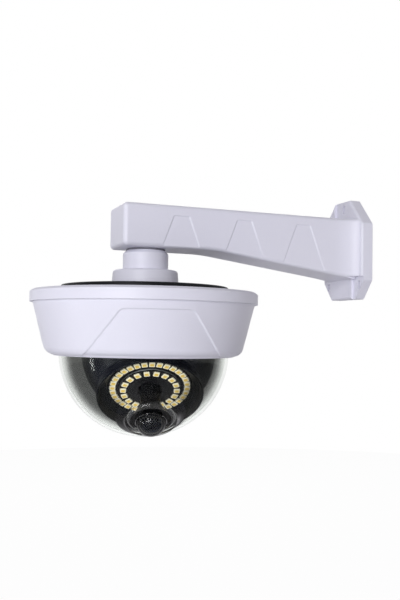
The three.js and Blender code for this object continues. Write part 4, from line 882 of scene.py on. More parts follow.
@dataclass
class Screws:
    """A family of equal screws: a head with a recess and a threaded shank."""

    bench: Bench
    family: str
    place: Place
    body: Body = Body.ROOT
    count: int = 3
    head_down: bool = False
    edge: float = 0.35
    head_share: float = 0.95
    pitch_share: float = 0.35
    recess_share: float = 0.5
    recess_depth_share: float = 0.6
    recess_sides: int = 6
    thread_share: float = 0.12
    play: float = 0.25

    def bolts(self) -> list[Bolt]:
        """Measures the family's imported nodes."""
        found = []
        for number in range(1, self.count + 1):
            node = f"{self.family}_{number}"
            low, high = self.bench.reach(self.place, node)
            centre = (low + high) / 2
            points = self.bench.points(self.place.shifted(centre.x, centre.y), node)
            head = max(point.xy.length for point in points)
            head_points = [point.z for point in points if point.xy.length > head * self.head_share]
            seat = max(head_points) if self.head_down else min(head_points)
            height = max(head_points) - min(head_points)
            shank = max(point.xy.length for point in points if point.xy.length < head * self.head_share)
            found.append(Bolt(node, centre, seat, head, shank, high.z - low.z - height, height))
        return found

    def holes(self, low: float, high: float) -> list[Mesh]:
        """Tools that clear the shanks between two heights."""
        return [moved(disc(bolt.shank + self.play, low, high), bolt.shift()) for bolt in self.bolts()]

    def head_holes(self, high: float) -> list[Mesh]:
        """Tools that sink the heads from a height down to just under their seats."""
        return [moved(disc(bolt.head + self.play, bolt.seat - self.play, high), bolt.shift())
                for bolt in self.bolts()]

    def shape(self, bolt: Bolt) -> Mesh:
        """One screw with its seat at 0."""
        shank, length, height = bolt.shank, bolt.length, bolt.height
        pitch = tip = shank * self.pitch_share
        side = climbing(shank, -length + tip, -0.01, pitch / 5)
        profile = [(0.0, -length), (shank - tip, -length), *side]
        edge = min(self.edge, height / 2)
        head_side = [(shank, 0, 0), (bolt.head, 0, 0.1), (bolt.head, height, edge), (0, height, 0)]
        profile += rounded(head_side, 4, closed=False)[1:]
        body = lathe(profile, SMALL, thread(pitch, shank * self.thread_share, -length + tip, -pitch, shank))
        reach = bolt.head * self.recess_share
        floor = height * (1 - self.recess_depth_share)
        return carve(body, [prism(polygon(reach, self.recess_sides), floor, height + 1)])

    def build(self) -> None:
        """Puts every screw of the family where its node is."""
        bolts = self.bolts()
        shape = self.shape(bolts[0])
        turn = Matrix.Rotation(math.pi, 4, "X") if self.head_down else Matrix.Identity(4)
        for bolt in bolts:
            seat = self.place.shifted(bolt.centre.x, bolt.centre.y, bolt.seat)
            name = bolt.node.replace("screw", "bolt")
            self.bench.put(name, bolt.node, shape, Place(seat.matrix @ turn), Paint.STEEL, body=self.body)


@dataclass
class WallArm:
    """The cast arm with its wall plate, and the nut that holds the neck in it."""

    bench: Bench
    wall: float = 3.5
    edge: float = 4.2
    width: float = 49.6
    tip_height: float = 39.6
    top: float = 66.2
    overhang: float = 28.4
    level_run: float = 61.3
    slope: float = 0.1374
    bend: float = 12.0
    flare_length: float = 24.0
    flare_sweep: float = 0.98
    flare_inset: float = 1.8
    flare_ease: float = 1.5
    flare_overlap: float = 0.2
    tip_share: float = 0.95
    inner_corner: float = 2.1
    plate_width: float = 74.8
    plate_thickness: float = 12.9
    plate_edge: float = 2.6
    plate_corner: float = 3.0
    plate_top: float = 87.1
    plate_foot: float = -14.1
    top_cut: Pair = (23.5, 26.0)
    foot_cut: Pair = (15.0, 18.5)
    pocket_depth: float = 2.5
    pocket_inner: float = 18.5
    pocket_top: float = 9.0
    pocket_fillet: float = 0.5
    pocket_bend: float = 6.0
    pocket_rounds: Pair = (9.0, 3.5)
    pocket_drops: Corner = (1.2, 0.2, 1.6)
    upper_pocket: float = 28.0
    upper_corner: float = 2.5
    upper_lip: float = 2.0
    slot_size: Pair = (4.6, 8.6)
    slot_spacing: float = 58.0
    upper_slot: float = 79.5
    panels: int = 3
    panel_pitch: float = 63.3
    panel_first: float = 26.5
    panel_width: float = 14.9
    panel_drop: float = 9.9
    panel_foot: float = -30.0
    panel_lean: float = 0.38
    panel_depth: float = 0.8
    panel_slope: float = 1.7
    panel_corner: float = 1.6
    neck_hole: float = 16.75

    def __post_init__(self) -> None:
        """Works out where the camera hangs."""
        self.hang = self.bench.rim.matrix.translation.x / MM
        self.floor = self.top - self.tip_height
        self.front = -self.plate_thickness

    def underside(self, x: float) -> float:
        """Height of the arm's underside, with its bend eased."""
        past = x - (self.hang + self.level_run)
        if past <= -self.bend:
            return self.floor
        if past >= self.bend:
            return self.floor - past * self.slope
        return self.floor - self.slope * (past + self.bend) ** 2 / (4 * self.bend)

    def half_width(self, x: float) -> float:
        """Half the arm's width, with the flare at the plate."""
        along = min(1.0, max(0.0, (x - (self.front - self.flare_length)) / self.flare_length))
        spread = self.plate_width / 2 - self.flare_inset - self.width / 2
        return self.width / 2 + spread * (1 - math.sqrt(1 - (self.flare_sweep * along) ** 2))

    def section(self, x: float, half: float, low: float, high: float, radius: float) -> list[tuple]:
        """A rounded rectangle across the arm."""
        corners = [(half, high), (-half, high), (-half, low), (half, low)]
        outline = rounded([(y, z, radius) for y, z in corners], 8)
        return [(x, y, z) for y, z in outline]

    def outside(self) -> Mesh:
        """The arm without its plate, panels and hollow."""
        tip = self.hang - self.overhang
        sections = []
        for step in range(8):
            angle = math.pi / 2 * step / 8
            inset = self.edge * self.tip_share * (1 - math.sin(angle))
            x = tip + self.edge * (1 - math.cos(angle))
            sections.append(self.section(
                x, self.width / 2 - inset, self.floor + inset, self.top - inset, self.edge - inset
            ))
        bend = self.hang + self.level_run
        stations = [tip + self.edge]
        stations += [bend - self.bend + self.bend * 2 * step / 16 for step in range(17)]
        start = self.front - self.flare_length
        run = self.flare_length + self.flare_overlap
        stations += [start + run * (1 - (1 - share) ** self.flare_ease) for share in evenly(0, 1, 20)]
        for x in stations:
            sections.append(self.section(x, self.half_width(x), self.underside(x), self.top, self.edge))
        return loft(sections)

    def inside(self) -> Mesh:
        """The hollow, open at the wall."""
        tip = self.hang - self.overhang
        bend = self.hang + self.level_run
        stations = [tip + self.wall, bend - self.bend, bend, bend + self.bend, self.front, 1.0]
        half = self.width / 2 - self.wall
        top = self.top - self.wall
        return loft([
            self.section(x, half, self.underside(min(x, self.front)) + self.wall, top, self.inner_corner)
            for x in stations
        ])

    def panel(self, number: int, side: int) -> Mesh:
        """The tool that sinks one panel with soft slopes into a side of the arm."""
        centre = self.hang + self.panel_first + number * self.panel_pitch
        top = self.top - self.panel_drop
        low = self.panel_foot
        spread = (top - low) * self.panel_lean
        half = self.panel_width / 2
        outline = [
            (centre - half - spread, low), (centre + half + spread, low),
            (centre + half, top), (centre - half, top),
        ]
        levels = [(-self.panel_slope / 2 - 0.8, -0.1)]
        for share in evenly(0, 1, 8):
            levels.append((self.panel_slope * (share - 0.5), self.panel_depth * ease(share) + 0.004))
        rings = []
        for inset, depth in levels:
            corners = drawn_in(outline, inset, self.panel_corner)
            ring = rounded(corners, 5)
            rings.append([(x, side * (self.width / 2 - depth), z) for x, z in ring])
        return loft(rings)

    def plate(self) -> Mesh:
        """The wall plate with rounded front edges."""
        half = self.plate_width / 2
        right = [
            (half - self.foot_cut[0], self.plate_foot), (half, self.plate_foot + self.foot_cut[1]),
            (half, self.plate_top - self.top_cut[1]), (half - self.top_cut[0], self.plate_top),
        ]
        outline = [*right, *[(-y, z) for y, z in reversed(right)]]
        edge = self.plate_edge
        levels = [(self.front + edge * (1 - math.sin(turn)), edge * (1 - math.cos(turn)))
                  for turn in [math.pi / 2 * (1 - step / 8) for step in range(9)]]
        levels += [(-0.5, 0.0), (0.0, 0.5)]
        return loft([
            [(x, y, z) for y, z in rounded(drawn_in(outline, inset, self.plate_corner), 5)]
            for x, inset in levels
        ])

    def pocket(self, outline: Sequence[Corner], front: float) -> Mesh:
        """The tool that sinks a screw pocket, as deep as the pockets' floor."""
        points = rounded(outline, 6)
        floor = self.front + self.pocket_depth
        return loft([[(x, y, z) for y, z in points] for x in (front, floor - self.pocket_fillet, floor)])

    def slot(self, y: float, z: float) -> Mesh:
        """A screw slot through the plate."""
        radius = self.slot_size[0] / 2
        straight = (self.slot_size[1] - self.slot_size[0]) / 2
        outline = [*arc(y, z + straight, radius, 0, 180, 12), *arc(y, z - straight, radius, 180, 360, 12)]
        return loft([[(x, py, pz) for py, pz in outline] for x in (-self.plate_thickness * 1.5, 1.0)])

    def lower_pocket(self, side: int, front: float) -> Mesh:
        """A pocket at a lower slot, open at the plate's side and foot."""
        beyond = self.plate_width
        inner = self.pocket_inner
        bend = self.plate_width / 2 - self.pocket_bend
        tops = [self.pocket_top - drop for drop in self.pocket_drops]
        outline = [
            (side * inner, -beyond, 0), (side * beyond, -beyond, 0), (side * beyond, tops[0], 0),
            (side * bend, tops[1], self.pocket_rounds[0]), (side * inner, tops[2], self.pocket_rounds[1]),
        ]
        return self.pocket(outline, front)

    def build(self) -> None:
        """Builds the casting and the pieces inside its tip."""
        upper = self.upper_pocket / 2
        high = self.plate_top * 2
        floor = self.top + self.upper_lip
        corner, before = self.upper_corner, self.front - 1
        outline = [(-upper, floor, corner), (upper, floor, corner), (upper, high, 0), (-upper, high, 0)]
        upper_pocket = self.pocket(outline, before)
        pockets = [self.lower_pocket(side, before) for side in (-1, 1)]
        ways = [self.lower_pocket(side, self.front - self.flare_length) for side in (-1, 1)]
        # The flare is cut away before the lower pockets, but not the arm's own width.
        half = self.width / 2 + 0.01
        keep = block((-400, -half, -60), (10, half, 120), 0.001)
        ways = [carve(way, [keep]) for way in ways]
        panels = [self.panel(number, side) for number in range(self.panels) for side in (-1, 1)]
        slots = [self.slot(0, self.upper_slot)]
        slots += [self.slot(side * self.slot_spacing / 2, 0) for side in (-1, 1)]
        hole = moved(disc(self.neck_hole, self.floor - 1, self.floor + self.wall + 1, BORE),
                     Matrix.Translation((self.hang, 0, 0)))
        arm = carve(self.outside(), [*panels, *ways])
        plate = carve(self.plate(), [upper_pocket, *pockets])
        casting = carve(carve(arm, [plate], Cut.JOIN), [self.inside(), hole, *slots])
        self.bench.put("cast_arm", "bracket_arm", casting, self.bench.row, Paint.WHITE)


@dataclass
class Neck:
    """The pendant pipe, its gasket and nut, and the round cap it screws into."""

    bench: Bench
    chamfer: float = 3.0
    pitch: float = 1.8
    groove: float = 0.5
    cap_edge: float = 2.6
    cap_foot_edge: float = 0.5
    cap_floor: float = 3.8
    cap_draft: float = 1.2
    hole_play: float = 0.25
    gasket_edge: float = 0.35
    nut_chamfer: float = 30.0
    grub_hole: float = 2.25
    grub_pitch: float = 0.7
    grub_groove: float = 0.22
    grub_socket: float = 2.2

    def pipe(self) -> Mesh:
        """The pipe and its threaded spigot."""
        bore, radius, low, high = self.bench.ring(self.bench.rim, "neck_tube")
        spigot = self.bench.ring(self.bench.rim, "neck_gasket")[0] - self.hole_play
        shoulder = self.bench.reach(self.bench.rim, "neck_gasket")[0].z - self.hole_play
        corners = [
            (bore, low, 0.5), (radius, low, 0.4), (radius, shoulder - self.chamfer, 0.8),
            (radius - self.chamfer, shoulder, 0.4),
        ]
        profile = rounded([*corners, (spigot, shoulder, 0)], 5, closed=False)
        profile += climbing(spigot, shoulder + 0.01, high - 0.4, self.pitch / 8)
        profile += [(spigot - 0.4, high), (bore, high)]
        return lathe(profile, FINE, thread(self.pitch, self.groove, shoulder + 0.5, high - 0.5, spigot))

    def nut(self) -> Mesh:
        """The hexagonal nut with its corners chamfered."""
        rim = self.bench.rim
        bore, corner, low, high = self.bench.ring(rim, "neck_lock_nut")
        flat = corner * math.cos(math.pi / 6)
        farthest = max(self.bench.points(rim, "neck_lock_nut"), key=lambda point: point.xy.length)
        outline = polygon(corner, 6, math.degrees(math.atan2(farthest.y, farthest.x)))
        past = corner + 1
        drop = (past - flat) * math.tan(math.radians(self.nut_chamfer))
        tools = [disc(bore, low - 1, high + 1, BORE)]
        for edge, way in ((high, 1), (low, -1)):
            bevel = [(flat, edge + way), (flat, edge), (past, edge - way * drop), (past, edge + way)]
            tools.append(lathe(bevel, BORE))
        return carve(prism(outline, low, high), tools)

    def sideways(self) -> Matrix:
        """Lays what is turned about the axis along Y, at the set screw's height."""
        low, high = self.bench.reach(self.bench.rim, "cap_set_screw")
        return Matrix.Translation((0, 0, (low.z + high.z) / 2)) @ Matrix.Rotation(-math.pi / 2, 4, "X")

    def cap(self) -> Mesh:
        """The round cap, with its bore, screw holes and set screw hole."""
        rim = self.bench.rim
        hole, foot, low, high = self.bench.ring(rim, "pendant_cap")
        radius = self.bench.ring(rim, "neck_tube")[1] + self.hole_play
        corners = [
            (hole, low, 0.3), (foot, low, self.cap_foot_edge), (foot - self.cap_draft, high, self.cap_edge),
            (radius, high, 0.25), (radius, low + self.cap_floor, 0.3), (hole, low + self.cap_floor, 0.3),
        ]
        screws = Screws(self.bench, "cap_screw", rim, head_down=True)
        tools = screws.holes(low - 1, self.bench.reach(rim, "cap_screw_1")[1].z + 1)
        tools.append(moved(disc(self.grub_hole, radius - 1, foot + 2), self.sideways()))
        return carve(lathe(rounded(corners, 7)), tools)

    def grub(self) -> Mesh:
        """The set screw: a threaded stub with a hexagonal socket."""
        low, high = self.bench.reach(self.bench.rim, "cap_set_screw")
        radius = (high.x - low.x) / 2
        near, far = low.y, high.y
        side = climbing(radius, near + 0.3, far - 0.3, 0.1)
        profile = [(0.0, near), (radius - 0.3, near), *side, (radius - 0.3, far), (0.0, far)]
        cut = thread(self.grub_pitch, self.grub_groove, near + 0.3, far - 0.3, radius)
        socket = prism(polygon(radius * 0.5, 6), far - self.grub_socket, far + 1)
        return moved(carve(lathe(profile, SMALL, cut), [socket]), self.sideways())

    def build(self) -> None:
        """Puts the neck's pieces on the camera's axis."""
        put, rim = self.bench.put, self.bench.rim
        gasket = washer(*self.bench.ring(rim, "neck_gasket"), self.gasket_edge)
        put("neck_pipe", "neck_tube", self.pipe(), rim, Paint.WHITE)
        put("neck_washer", "neck_gasket", gasket, rim, Paint.GAP_SHADE_RUBBER)
        put("pipe_nut", "neck_lock_nut", self.nut(), rim, Paint.STEEL)
        put("round_cap", "pendant_cap", self.cap(), rim, Paint.WHITE)
        put("grub_screw", "cap_set_screw", self.grub(), rim, Paint.STEEL)


def rows_mesh(rows: Sequence[Sequence[Vector]], poles: bool = False) -> Mesh:
    """Skins rings of equal point counts into a closed surface.

    Args:
        rows: The rings, all turning the same way.
        poles: True closes the first and last ring at a point each. False joins the last to the first.

    Returns:
        The closed mesh.
    """
    points = [point for row in rows for point in row]
    return mesh_of(points, ring_faces(len(rows), len(rows[0]), closed=not poles))


def up_the_ball(start: Sequence[Vector], pole: Vector, centre: Vector, radius: float, height: float,
                steps: int) -> list[list[Vector]]:
    """Rings on a ball from one round a pole on its side to a level one.

    Args:
        start: The first ring's points, on the ball.
        pole: Direction from the ball's centre to the pole.
        centre: The ball's centre.
        radius: Its radius.
        height: Height of the level ring.
        steps: How many rings follow the first.

    Returns:
        The rings after the first.
    """
    rings: list[list[Vector]] = [[] for _ in range(steps)]
    for point in start:
        spoke = (point - centre) / radius
        ahead = (spoke * spoke.dot(pole) - pole).normalized()
        swing = math.hypot(spoke.z, ahead.z)
        rise = (height - centre.z) / radius
        reach = (math.atan2(ahead.z, spoke.z) - math.acos(rise / swing)) % math.tau
        for step in range(1, steps + 1):
            angle = reach * step / steps
            rings[step - 1].append(centre + (spoke * math.cos(angle) + ahead * math.sin(angle)) * radius)
    return rings


def level_ring(like: Sequence[Vector], centre: Vector, radius: float, height: float) -> list[Vector]:
    """A level ring whose points lie the same way from a centre as those of another ring."""
    ring = []
    for point in like:
        way = (point - centre).xy.normalized() * radius
        ring.append(Vector((centre.x + way.x, centre.y + way.y, height)))
    return ring


@dataclass
class Roof:
    """The black plate, the cover with its rim band, and the grommet."""

    bench: Bench
    wall: float = 2.6
    band: float = 9.3
    bevel: float = 2.6
    roof: float = 2.8
    inner_fillet: float = 2.0
    plate_edge: float = 1.6
    grommet_play: float = 0.25

    def cover(self, cap_screws: Screws, cover_screws: Screws) -> Mesh:
        """The cover with its holes and counterbores."""
        hole, radius, low, high = self.bench.ring(self.bench.rim, "upper_cover")
        inside = radius - self.wall
        under = high - self.roof
        corners = [
            (hole, under, 0.3), (inside, under, self.inner_fillet), (inside, low, 0.3), (radius, low, 0.7),
            (radius, self.band, 0.6), (radius - self.bevel, high, 0.9), (hole, high, 0.3),
        ]
        tools = cap_screws.holes(low, high + 1) + cover_screws.holes(low, high + 1)
        tools += cover_screws.head_holes(high + 1)
        return carve(lathe(rounded(corners, 4), RIM), tools)

    def plate(self, cap_screws: Screws) -> Mesh:
        """The black plate with its screw holes."""
        hole, radius, low, high = self.bench.ring(self.bench.rim, "top_plate")
        corners = [(hole, low, 0.3), (radius, low, 0.4), (radius, high, self.plate_edge), (hole, high, 0.3)]
        return carve(lathe(rounded(corners, 6), RIM), cap_screws.holes(low - 1, high + 1))

    def grommet(self) -> Mesh:
        """The rubber grommet with soft lips and a groove that the roof sits in."""
        bore, flange, low, high = self.bench.ring(self.bench.rim, "cable_grommet")
        hole, _, _, roof_top = self.bench.ring(self.bench.rim, "upper_cover")
        waist = hole - self.grommet_play
        under = roof_top - self.roof - self.grommet_play
        above = roof_top + self.grommet_play
        corners = [
            (bore, low, 0.6), (flange, low, 0.6), (flange, under, 0.3), (waist, under, 0.2),
            (waist, above, 0.2), (flange, above, 0.3), (flange, high, 0.7), (bore, high, 0.7),
        ]
        return lathe(rounded(corners, 5), BORE)

    def build(self) -> None:
        """Puts the roof's pieces with their screws."""
        rim = self.bench.rim
        cap_screws = Screws(self.bench, "cap_screw", rim, head_down=True)
        cover_screws = Screws(self.bench, "cover_screw", rim, edge=0.3)
        put = self.bench.put
        put("cover_shell", "upper_cover", self.cover(cap_screws, cover_screws), rim, Paint.WHITE)
        put("weather_plate", "top_plate", self.plate(cap_screws), rim, Paint.BLACK)
        put("grommet_body", "cable_grommet", self.grommet(), rim, Paint.RUBBER)
        cap_screws.build()
        cover_screws.build()


@dataclass
class Housing:
    """The tapered shell under the rim, with its sunk panels and the dome's mouth."""

    bench: Bench
    top_radius: float = 102.15
    spigot: float = 6.8
    depth: float = 48.0
    taper: float = 0.2552
    wall: float = 3.0
    corner: float = 9.0
    foot: float = 47.3
    lip_radius: float = 82.8
    lip_edge: float = 0.5
    groove: float = 0.35
    mouth: float = 79.0
    ledge: float = 45.0
    inner_corner: float = 5.0
    panels: int = 3
    panel_heading: float = 11.0
    panel_top: float = 7.7
    panel_width: float = 59.8
    panel_lean: float = 0.73
    panel_depth: float = 1.0
    panel_slope: float = 1.8
    panel_corner: float = 2.5
    panel_end: float = 84.6
    boss_radius: float = 4.2
    boss_depth: float = 12.0
    boss_inset: float = 1.5
    retainer_boss: float = 3.2
    retainer_hole: float = 42.0
    plain_heights: tuple[float, ...] = (0.0, -2.0, -4.0, -5.6)
    slope_rows: int = 6
    fine_row: float = 0.5
    wall_rows: int = 10
    arc_rows: int = 36
    slope_reach: float = 0.62
    panel_columns: int = 14
    slope_columns: int = 8
    far_columns: int = 6

    def __post_init__(self) -> None:
        """Works out the wall's lean and where the corner's arc is centred."""
        self.lean = math.atan(self.taper)
        self.arc_height = self.corner - self.foot
        self.arc_radius = self.top_radius + self.arc_height * self.taper - self.corner / math.cos(self.lean)

    def wall_radius(self, height: float) -> float:
        """The outer radius of the straight wall."""
        return self.top_radius + min(0.0, height) * self.taper

    def outside(self) -> list[tuple[float, float, float, float]]:
        """The outer profile as (radius, height, way in along the radius, way in along the height)."""
        edge = self.panel_slope / 2
        rows = self.slope_rows
        heights = [*self.plain_heights]
        heights += [-self.panel_top + edge - self.panel_slope * step / rows for step in range(rows + 1)]
        heights += [-self.panel_top - edge - self.fine_row * step for step in range(1, rows + 1)]
        straight_end = self.arc_height - self.corner * math.sin(self.lean)
        heights += evenly(heights[-1], straight_end, self.wall_rows)[1:-1]
        flat = (-math.cos(self.lean), math.sin(self.lean))
        profile = [(self.top_radius - 0.3, self.spigot, 0, 0), (self.top_radius, self.spigot - 0.3, 0, 0)]
        profile += [(self.wall_radius(height), height, *flat) for height in heights]
        last = -math.degrees(math.acos((self.lip_radius + self.groove - self.arc_radius) / self.corner))
        first = -math.degrees(self.lean)
        for angle in evenly(first, last, self.arc_rows):
            out = (math.cos(math.radians(angle)), math.sin(math.radians(angle)))
            profile.append((self.arc_radius + self.corner * out[0], self.arc_height + self.corner * out[1],
                            -out[0], -out[1]))
        return profile

    def sunk(self, radius: float, height: float, across: float) -> float:
        """How deep the panel is at a point."""
        to_side = (self.half_width(height) - across) / math.hypot(1, self.panel_lean)
        to_top = -self.panel_top - height
        to_end = radius - self.panel_end
        corner = self.panel_corner
        near = min(to_side, to_top)
        if to_side < corner and to_top < corner:
            near = corner - math.hypot(corner - to_side, corner - to_top)
        near = min(near, to_end)
        return self.panel_depth * ease(near / self.panel_slope + 0.5)

    def half_width(self, height: float) -> float:
        """Half the panel's width at a height."""
        return self.panel_width / 2 + max(0.0, -self.panel_top - height) * self.panel_lean

    def columns(self, radius: float, height: float) -> list[Pair]:
        """Where the grid's columns cross a row: angle from a panel's middle and distance across it."""
        edge = math.degrees(math.asin(self.half_width(height) / radius))
        slope = math.degrees(self.panel_slope * self.slope_reach * math.hypot(1, self.panel_lean) / radius)
        inner, outer = edge - slope, edge + slope
        half = evenly(0, inner, self.panel_columns)[:-1] + evenly(inner, outer, self.slope_columns)[:-1]
        half += evenly(outer, 180 / self.panels, self.far_columns)
        angles = [-angle for angle in reversed(half[1:])] + half[:-1]
        return [(angle, radius * abs(math.sin(math.radians(angle)))) for angle in angles]

    def shell(self) -> Mesh:
        """The closed shell with its panels, before bosses and holes."""
        rows = []
        for radius, height, in_radius, in_height in self.outside():
            row = []
            for number in range(self.panels):
                middle = -90 - self.panel_heading + number * 360 / self.panels
                for angle, across in self.columns(radius, height):
                    depth = self.sunk(radius, height, across) if in_radius or in_height else 0.0
                    turn = math.radians(middle + angle)
                    far, up = radius + in_radius * depth, height + in_height * depth
                    row.append(Vector((far * math.cos(turn), far * math.sin(turn), up)))
            rows.append(row)
        low = -self.depth
        inner_wall = self.wall / math.cos(self.lean)
        corners = [
            (self.lip_radius, rows[-1][0].z + self.groove, 0.1), (self.lip_radius, low, self.lip_edge),
            (self.mouth, low, self.lip_edge), (self.mouth, -self.ledge, 0.3),
            (self.wall_radius(-self.ledge) - inner_wall, -self.ledge, self.inner_corner),
            (self.top_radius - inner_wall, 0, 2), (self.top_radius - self.wall, self.spigot, 0.4),
        ]
        lip_start = (self.lip_radius + self.groove, corners[0][1], 0)
        closing = [lip_start, *corners, (self.top_radius, self.spigot, 0)]
        for radius, height in rounded(closing, 4, closed=False)[:-1]:
            rows.append(level_ring(rows[-1], Vector((0, 0, 0)), radius, height))
        return rows_mesh(rows)

    def build(self) -> None:
        """Joins the screw bosses and cuts their holes."""
        rim = self.bench.rim
        cover_screws = Screws(self.bench, "cover_screw", rim)
        retainer_screws = Screws(self.bench, "retainer_screw", rim)
        retainer_low = self.bench.reach(rim, "turret_retainer")[0].z
        inset = self.boss_inset
        walls = [(radius - inset, height, 0) for radius, height, _, _ in self.outside()[1:]]
        profile = rounded([(0, self.spigot, 0), *walls, (0, inset - self.foot, 0)], 1, closed=False)
        envelope = lathe(profile, BORE)
        post = disc(self.boss_radius, -self.boss_depth, self.spigot)
        short_post = disc(self.retainer_boss, -self.ledge - 0.2, retainer_low - 0.25)
        bosses = [moved(post, bolt.shift()) for bolt in cover_screws.bolts()]
        bosses += [moved(short_post, bolt.shift()) for bolt in retainer_screws.bolts()]
        bosses = [carve(boss, [envelope], Cut.SHARE) for boss in bosses]
        whole = carve(self.shell(), bosses, Cut.JOIN)
        holes = cover_screws.holes(1 - self.boss_depth, self.spigot + 1)
        holes += retainer_screws.holes(-self.retainer_hole, retainer_low + 1)
        self.bench.put("housing_shell", "lower_housing", carve(whole, holes), rim, Paint.WHITE)


@dataclass
class Dome:
    """The clear dome with the nose and the bubble that the lens looks through."""

    bench: Bench
    radius: float = 78.1
    wall: float = 2.5
    flange: Pair = (0.05, 2.05)
    flange_radius: float = 84.0
    nose_wall: float = 2.0
    bubble: float = 13.5
    bubble_centre: float = 78.1
    nose_rise: float = 1.5
    shoulder: float = 23.0
    shoulder_edges: Pair = (1.8, 3.0)
    foot_edge: float = 0.9
    root: float = 30.5
    root_sink: float = 1.0
    blend: float = 1.2
    skirt: float = 36.0
    skirt_rings: int = 24
    nose_reach: float = 30.5
    columns: int = 160

    def eye_point(self, spoke: float, angle: float, height: float) -> Vector:
        """A point of the eye's frame, in the dome's."""
        point = Vector((spoke * math.cos(angle), spoke * math.sin(angle), height))
        return self.dome_back @ (self.bench.eye.matrix @ point)

    def ball_height(self, spoke: float, angle: float, radius: float) -> float:
        """How far out along the eye's axis the ball's surface is."""
        aside = Vector((spoke * math.cos(angle), spoke * math.sin(angle))) - self.middle.xy
        return self.middle.z + math.sqrt(radius**2 - aside.length_squared)

    def on_edge(self, point: Vector) -> bool:
        """Whether a point of the eye's frame is on a rounded edge of the nose or at the bubble's foot."""
        half = self.shoulder_edges[1] / 2
        top = self.bubble_centre + self.nose_rise
        at_foot = max(abs(point.xy.length - self.bubble), abs(point.z - top)) < self.foot_edge / 2
        side = point.xy.length - self.shoulder + self.nose_wall
        rise = point.z - top + self.nose_wall
        return at_foot or (abs(side + half) < half and abs(rise + half) < half)

    def side(self, wall: float) -> list[list[Vector]]:
        """One skin, from the bubble's top to the flange.

        Args:
            wall: 0 for the outer skin, else how far it is drawn in at the nose.

        Returns:
            The skin's rings in the dome's frame.
        """
        radius = self.radius - (self.wall if wall else 0)
        bubble = self.bubble - wall
        shoulder = self.bubble_centre + self.nose_rise - wall
        side = self.shoulder - wall
        meet = math.sqrt(bubble**2 - (shoulder - self.bubble_centre) ** 2)
        start = math.degrees(math.asin((shoulder - self.bubble_centre) / bubble))
        edge = self.shoulder_edges[bool(wall)]
        top = [(x, y, 0.0) for x, y in arc(0, self.bubble_centre, bubble, 90, start + 4, 26)]
        foot = shoulder - edge - 0.5
        corners = [*top, (meet, shoulder, 0.5), (side, shoulder, edge), (side, foot, 0)]
        rings = []
        angles = around(self.columns)
        for spoke, height in rounded(corners, 5, closed=False):
            rings.append([self.eye_point(spoke, angle, height) for angle in angles])
        root = self.root - wall
        root_height = math.sqrt(self.radius**2 - self.root**2) - wall - self.root_sink
        for spoke in evenly(side, self.skirt, self.skirt_rings)[1:]:
            ring = []
            for angle in angles:
                share = (root - spoke) / (root - side)
                flare = root_height + (foot - root_height) * share * abs(share)
                ball = self.ball_height(spoke, angle, radius)
                over = flare - ball
                lift = 0.0 if over < -self.blend else over
                if abs(over) < self.blend:
                    lift = (over + self.blend) ** 2 / (4 * self.blend)
                ring.append(self.eye_point(spoke, angle, ball + lift))
            rings.append(ring)
        pole = self.eye_point(0, 0, self.ball_height(0, 0, radius)).normalized()
        rings += up_the_ball(rings[-1], pole, Vector((0, 0, 0)), radius, 0.0, 44)
        return rings

    def build(self) -> None:
        """Builds the shell with its flange and screw holes."""
        bench = self.bench
        self.dome_back = bench.dome.matrix.inverted()
        self.middle = bench.eye.matrix.inverted() @ bench.dome.matrix.translation
        rows = self.side(0.0)
        inner = self.side(self.nose_wall)
        low, high = self.flange
        centre = Vector((0, 0, 0))
        edge = [(self.radius, low - 0.04, 0), (self.radius, low, 0.0), (self.flange_radius, low, 0.3),
                (self.flange_radius, high, 0.3), (self.radius - self.wall, high, 0.3),
                (self.radius - self.wall, 0.02, 0)]
        for radius, height in rounded(edge, 3, closed=False)[1:]:
            rows.append(level_ring(rows[-1], centre, radius, height))
        rows += list(reversed(inner))
        screws = Screws(bench, "dome_screw", bench.dome, Body.TURRET)
        shell = carve(rows_mesh(rows, poles=True), screws.holes(low - 1, high + 1))
        to_eye = bench.eye.matrix.inverted() @ bench.dome.matrix
        # The nose's faces take the nose finishes, painted nearly black aslant as painted shade; its rounded
        # edges and the bubble's foot take the edge finish.
        for face in shell.polygons:
            middle = to_eye @ face.center
            if middle.z > self.root and middle.xy.length < self.nose_reach:
                face.material_index = 2 if self.on_edge(middle) else 1
        bench.put("clear_dome_shell", "dome_cover", shell, bench.dome, Paint.CLEAR, Paint.NOSE,
                  Paint.NOSE_EDGE, body=Body.TURRET, sharp=50)


